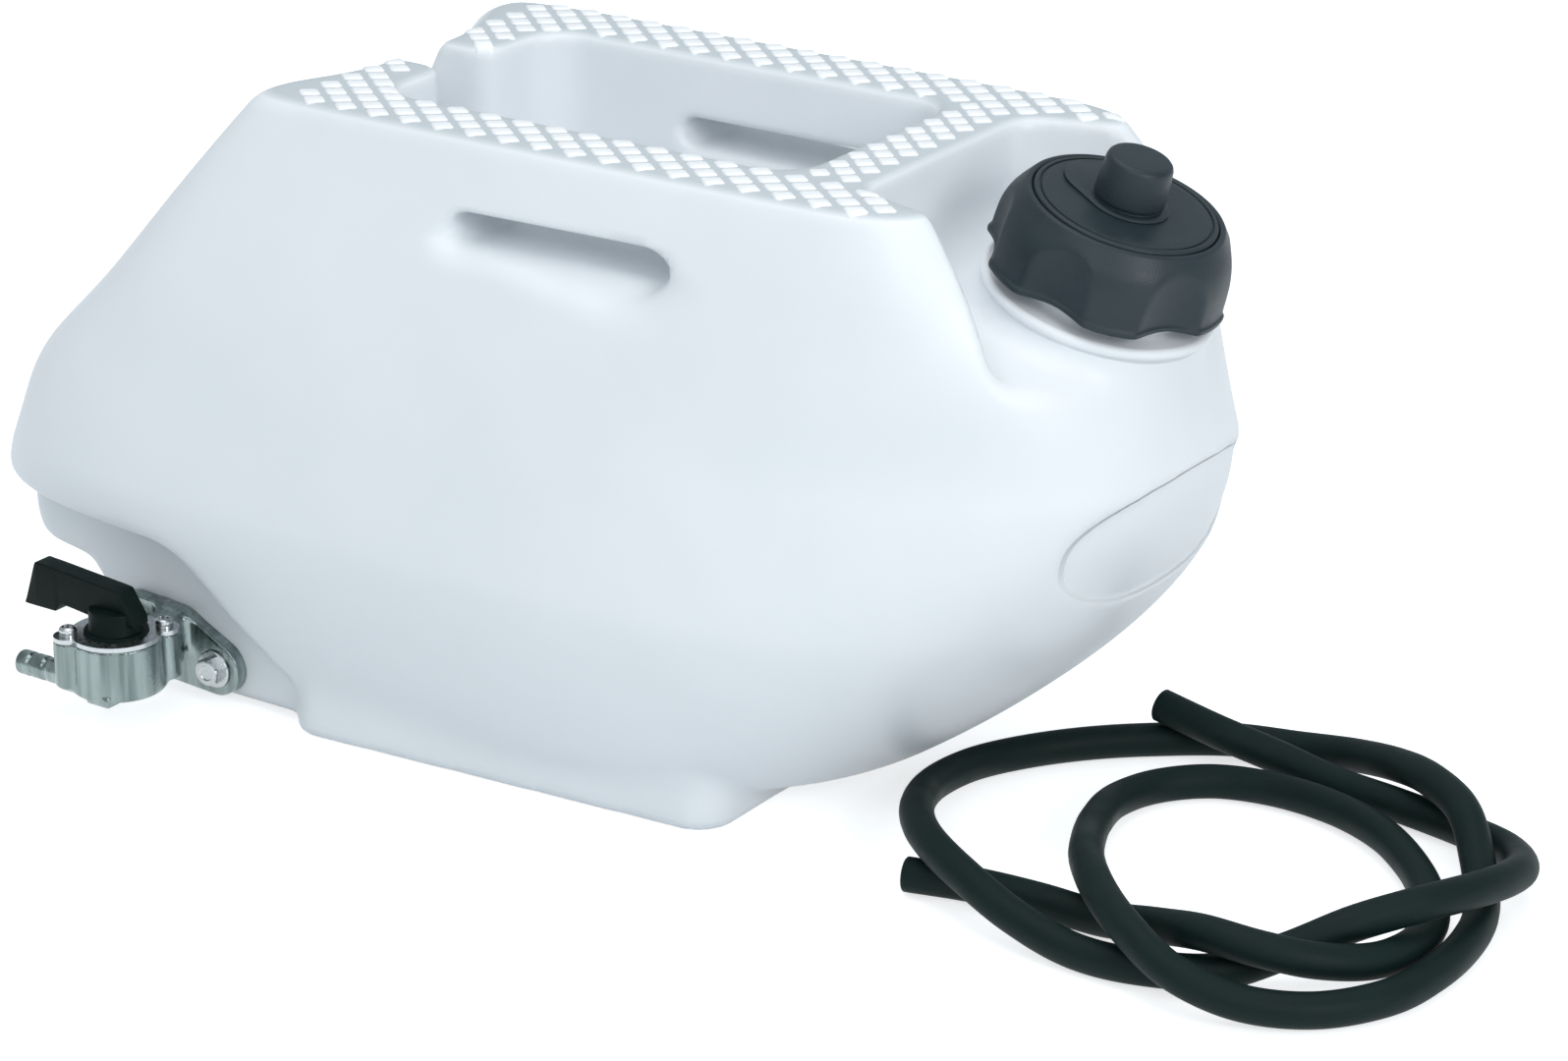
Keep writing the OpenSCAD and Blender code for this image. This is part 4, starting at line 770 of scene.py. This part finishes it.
# The cross is the nearer of two bars 0.9 mm wide; the edges of the recess slope a little
u, v = np.abs(ring * np.cos(bearing)), np.abs(ring * np.sin(bearing))
cross = np.minimum(np.maximum(v - cross_half, u - cross_long), np.maximum(u - cross_half, v - cross_long))
top = dome - cross_deep * step_up(0.12, -0.12, cross)
head = np.stack(np.broadcast_arrays(ring * np.cos(bearing), ring * np.sin(bearing), top), axis=-1)
head[0, :, :2] = 0
shank_profile = np.array([[head_r, 0.5], [2.7, 0.0], [1.45, 0.0], [1.45, -9.2], [1.1, -9.6], [0, -9.6]])
screw = np.concatenate([head, turned(shank_profile, screw_columns)])
face = grid_faces(len(screw), screw_columns)
places = [np.array([*(valve_at + side * ear), head_z]) for side in (-1, 1)]
pair = np.concatenate([screw.reshape(-1, 3) + place for place in places])
faces = np.concatenate([face, face + len(screw) * screw_columns])
screws = put_piece("cover_screw_pair", pair, faces, zinc, "tank", crease=35)
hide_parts("cover_screws")

# Cover plate and washers
# Pressed and zinc-plated steel, flat and bright, with a drawn edge. They keep the solids they have
# in the model, since a flat plate and plain washers need no other form.
for name in ("cover_plate", "screw_washers"):
    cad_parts[name].data.materials.clear()
    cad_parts[name].data.materials.append(zinc)

# Hidden valve and cap parts
# Brass inserts and inlet tube, a nylon strainer, rubber seals and rings, a steel wave spring and the
# cap's liner. They sit inside the shell, the valve or the cap and show only when it is taken apart.

# Turned brass: warm yellow with lathe lines about 2 mm apart, coarser than the real ones to show
brass, at = new_material("turned_brass")
lathe = add(brass, "TexWave", {"Vector": at.outputs["Object"], "Scale": 160.0, "Distortion": 0.4},
    bands_direction="Y")
tint = add(brass, "Mix", {0: lathe.outputs[1], 6: linear("#b5893f"), 7: linear("#d8ad62")},
    data_type="RGBA")
bump = add(brass, "Bump", {"Strength": 0.2, "Distance": 0.00005, "Height": lathe.outputs[1]})
add(brass, None, {"Base Color": tint.outputs[2], "Metallic": 1.0, "Roughness": 0.3,
    "Normal": bump.outputs[0]})

# Spring steel strip: blue-grey, rolled, with a thin film of oil that dulls it every 2 mm or so
strip, at = new_material("rolled_spring_steel")
roll = add(strip, "TexNoise", {"Vector": at.outputs["Object"], "Scale": 500.0, "Detail": 3.0})
tint = add(strip, "Mix", {0: roll.outputs[0], 6: linear("#7f878c"), 7: linear("#a5acb0")},
    data_type="RGBA")
shine = add(strip, "MapRange", {0: roll.outputs[0], 1: 0.3, 2: 0.7, 3: 0.2, 4: 0.35})
add(strip, None, {"Base Color": tint.outputs[2], "Metallic": 1.0, "Roughness": shine.outputs[0]})

# Moulded nitrile seals: matt black, dusted grey in patches of about 4 mm
seal, at = new_material("moulded_nitrile_seal")
dust_and_painted_shade = add(seal, "TexNoise", {"Vector": at.outputs["Object"], "Scale": 260.0, "Detail": 4.0})
tint = add(seal, "Mix", {0: dust_and_painted_shade.outputs[0], 6: linear("#0c0d0d"), 7: linear("#202322")},
    data_type="RGBA")
matt = add(seal, "MapRange", {0: dust_and_painted_shade.outputs[0], 1: 0.3, 2: 0.7, 3: 0.5, 4: 0.7})
add(seal, None, {"Base Color": tint.outputs[2], "Roughness": matt.outputs[0], "IOR": 1.5})

# Nylon gauze welded on a moulded cage: cream, with threads about 4 mm apart, drawn far coarser than
# the real 0.2 mm so that they show
gauze, at = new_material("welded_nylon_gauze")
warp = add(gauze, "TexWave", {"Vector": at.outputs["Object"], "Scale": 85.0}, bands_direction="X")
weft = add(gauze, "TexWave", {"Vector": at.outputs["Object"], "Scale": 85.0}, bands_direction="Y")
weave = add(gauze, "Math", {0: warp.outputs[1], 1: weft.outputs[1]}, operation="MAXIMUM")
tint = add(gauze, "Mix", {0: weave.outputs[0], 6: linear("#a89f86"), 7: linear("#e2dbc6")},
    data_type="RGBA")
bump = add(gauze, "Bump", {"Strength": 0.6, "Distance": 0.0002, "Height": weave.outputs[0]})
add(gauze, None, {"Base Color": tint.outputs[2], "Roughness": 0.5, "IOR": 1.53,
    "Normal": bump.outputs[0]})

finishes = {"threaded_inserts": brass, "inlet_tube": brass, "strainer_screen": gauze,
    "wave_spring": strip, "cap_liner": nylon, "cap_gasket": seal, "vent_valve": seal,
    "flange_o_ring": seal, "rotor_seal": seal, "rotor_o_ring": seal}
for name, finish in finishes.items():
    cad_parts[name].data.materials.clear()
    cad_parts[name].data.materials.append(finish)

# Floor and light
# A white studio table under a wide soft box, with one in front, one at the tail and a pale room. The
# table shows white to the camera and in reflections, and keeps the shadows that fall on it.
table_mesh = bpy.data.meshes.new("studio_table")
table_mesh.from_pydata([(-6, -6, 0), (6, -6, 0), (6, 6, 0), (-6, 6, 0)], [], [(0, 1, 2, 3)])
table = bpy.data.objects.new("studio_table", table_mesh)
bpy.context.scene.collection.objects.link(table)
laminate = bpy.data.materials.new("white_table_laminate")
laminate.use_nodes = True
seen = add(laminate, "LightPath", {})
shown = add(laminate, "Math", {0: seen.outputs["Is Camera Ray"], 1: seen.outputs["Is Glossy Ray"]},
    operation="MAXIMUM")
shown = add(laminate, "Math", {0: shown.outputs[0], 1: seen.outputs["Is Transmission Ray"]},
    operation="MAXIMUM")
glow = add(laminate, "Math", {0: shown.outputs[0], 1: 0.68}, operation="MULTIPLY")
add(laminate, None, {"Base Color": linear("#dadee1"), "Roughness": 0.9, "Emission Color": (1, 1, 1, 1),
    "Emission Strength": glow.outputs[0], "Specular IOR Level": 0.0})
table_mesh.materials.append(laminate)

room = bpy.data.worlds.new("pale_room")
room.use_nodes = True
room.node_tree.nodes["Background"].inputs["Color"].default_value = (0.88, 0.96, 1.0, 1)
room.node_tree.nodes["Background"].inputs["Strength"].default_value = 0.57
bpy.context.scene.world = room

soft_boxes = (
    ("soft_box_above", (0.0, -0.1, 1.5), (0.0, 0.0, 0.05), 1.3, 8),
    ("soft_box_front", (0.6, -1.5, 1.2), (0.0, 0.0, 0.1), 0.9, 5.5),
    ("soft_box_tail", (1.5, -0.6, 0.8), (0.0, 0.0, 0.12), 0.5, 8))
for name, place, aim, size, watts in soft_boxes:
    lamp = bpy.data.lights.new(name, "AREA")
    lamp.shape, lamp.size, lamp.energy = "SQUARE", size, watts
    holder = bpy.data.objects.new(name, lamp)
    holder.location = place
    holder.rotation_euler = (Vector(aim) - Vector(place)).to_track_quat("-Z", "Y").to_euler()
    bpy.context.scene.collection.objects.link(holder)
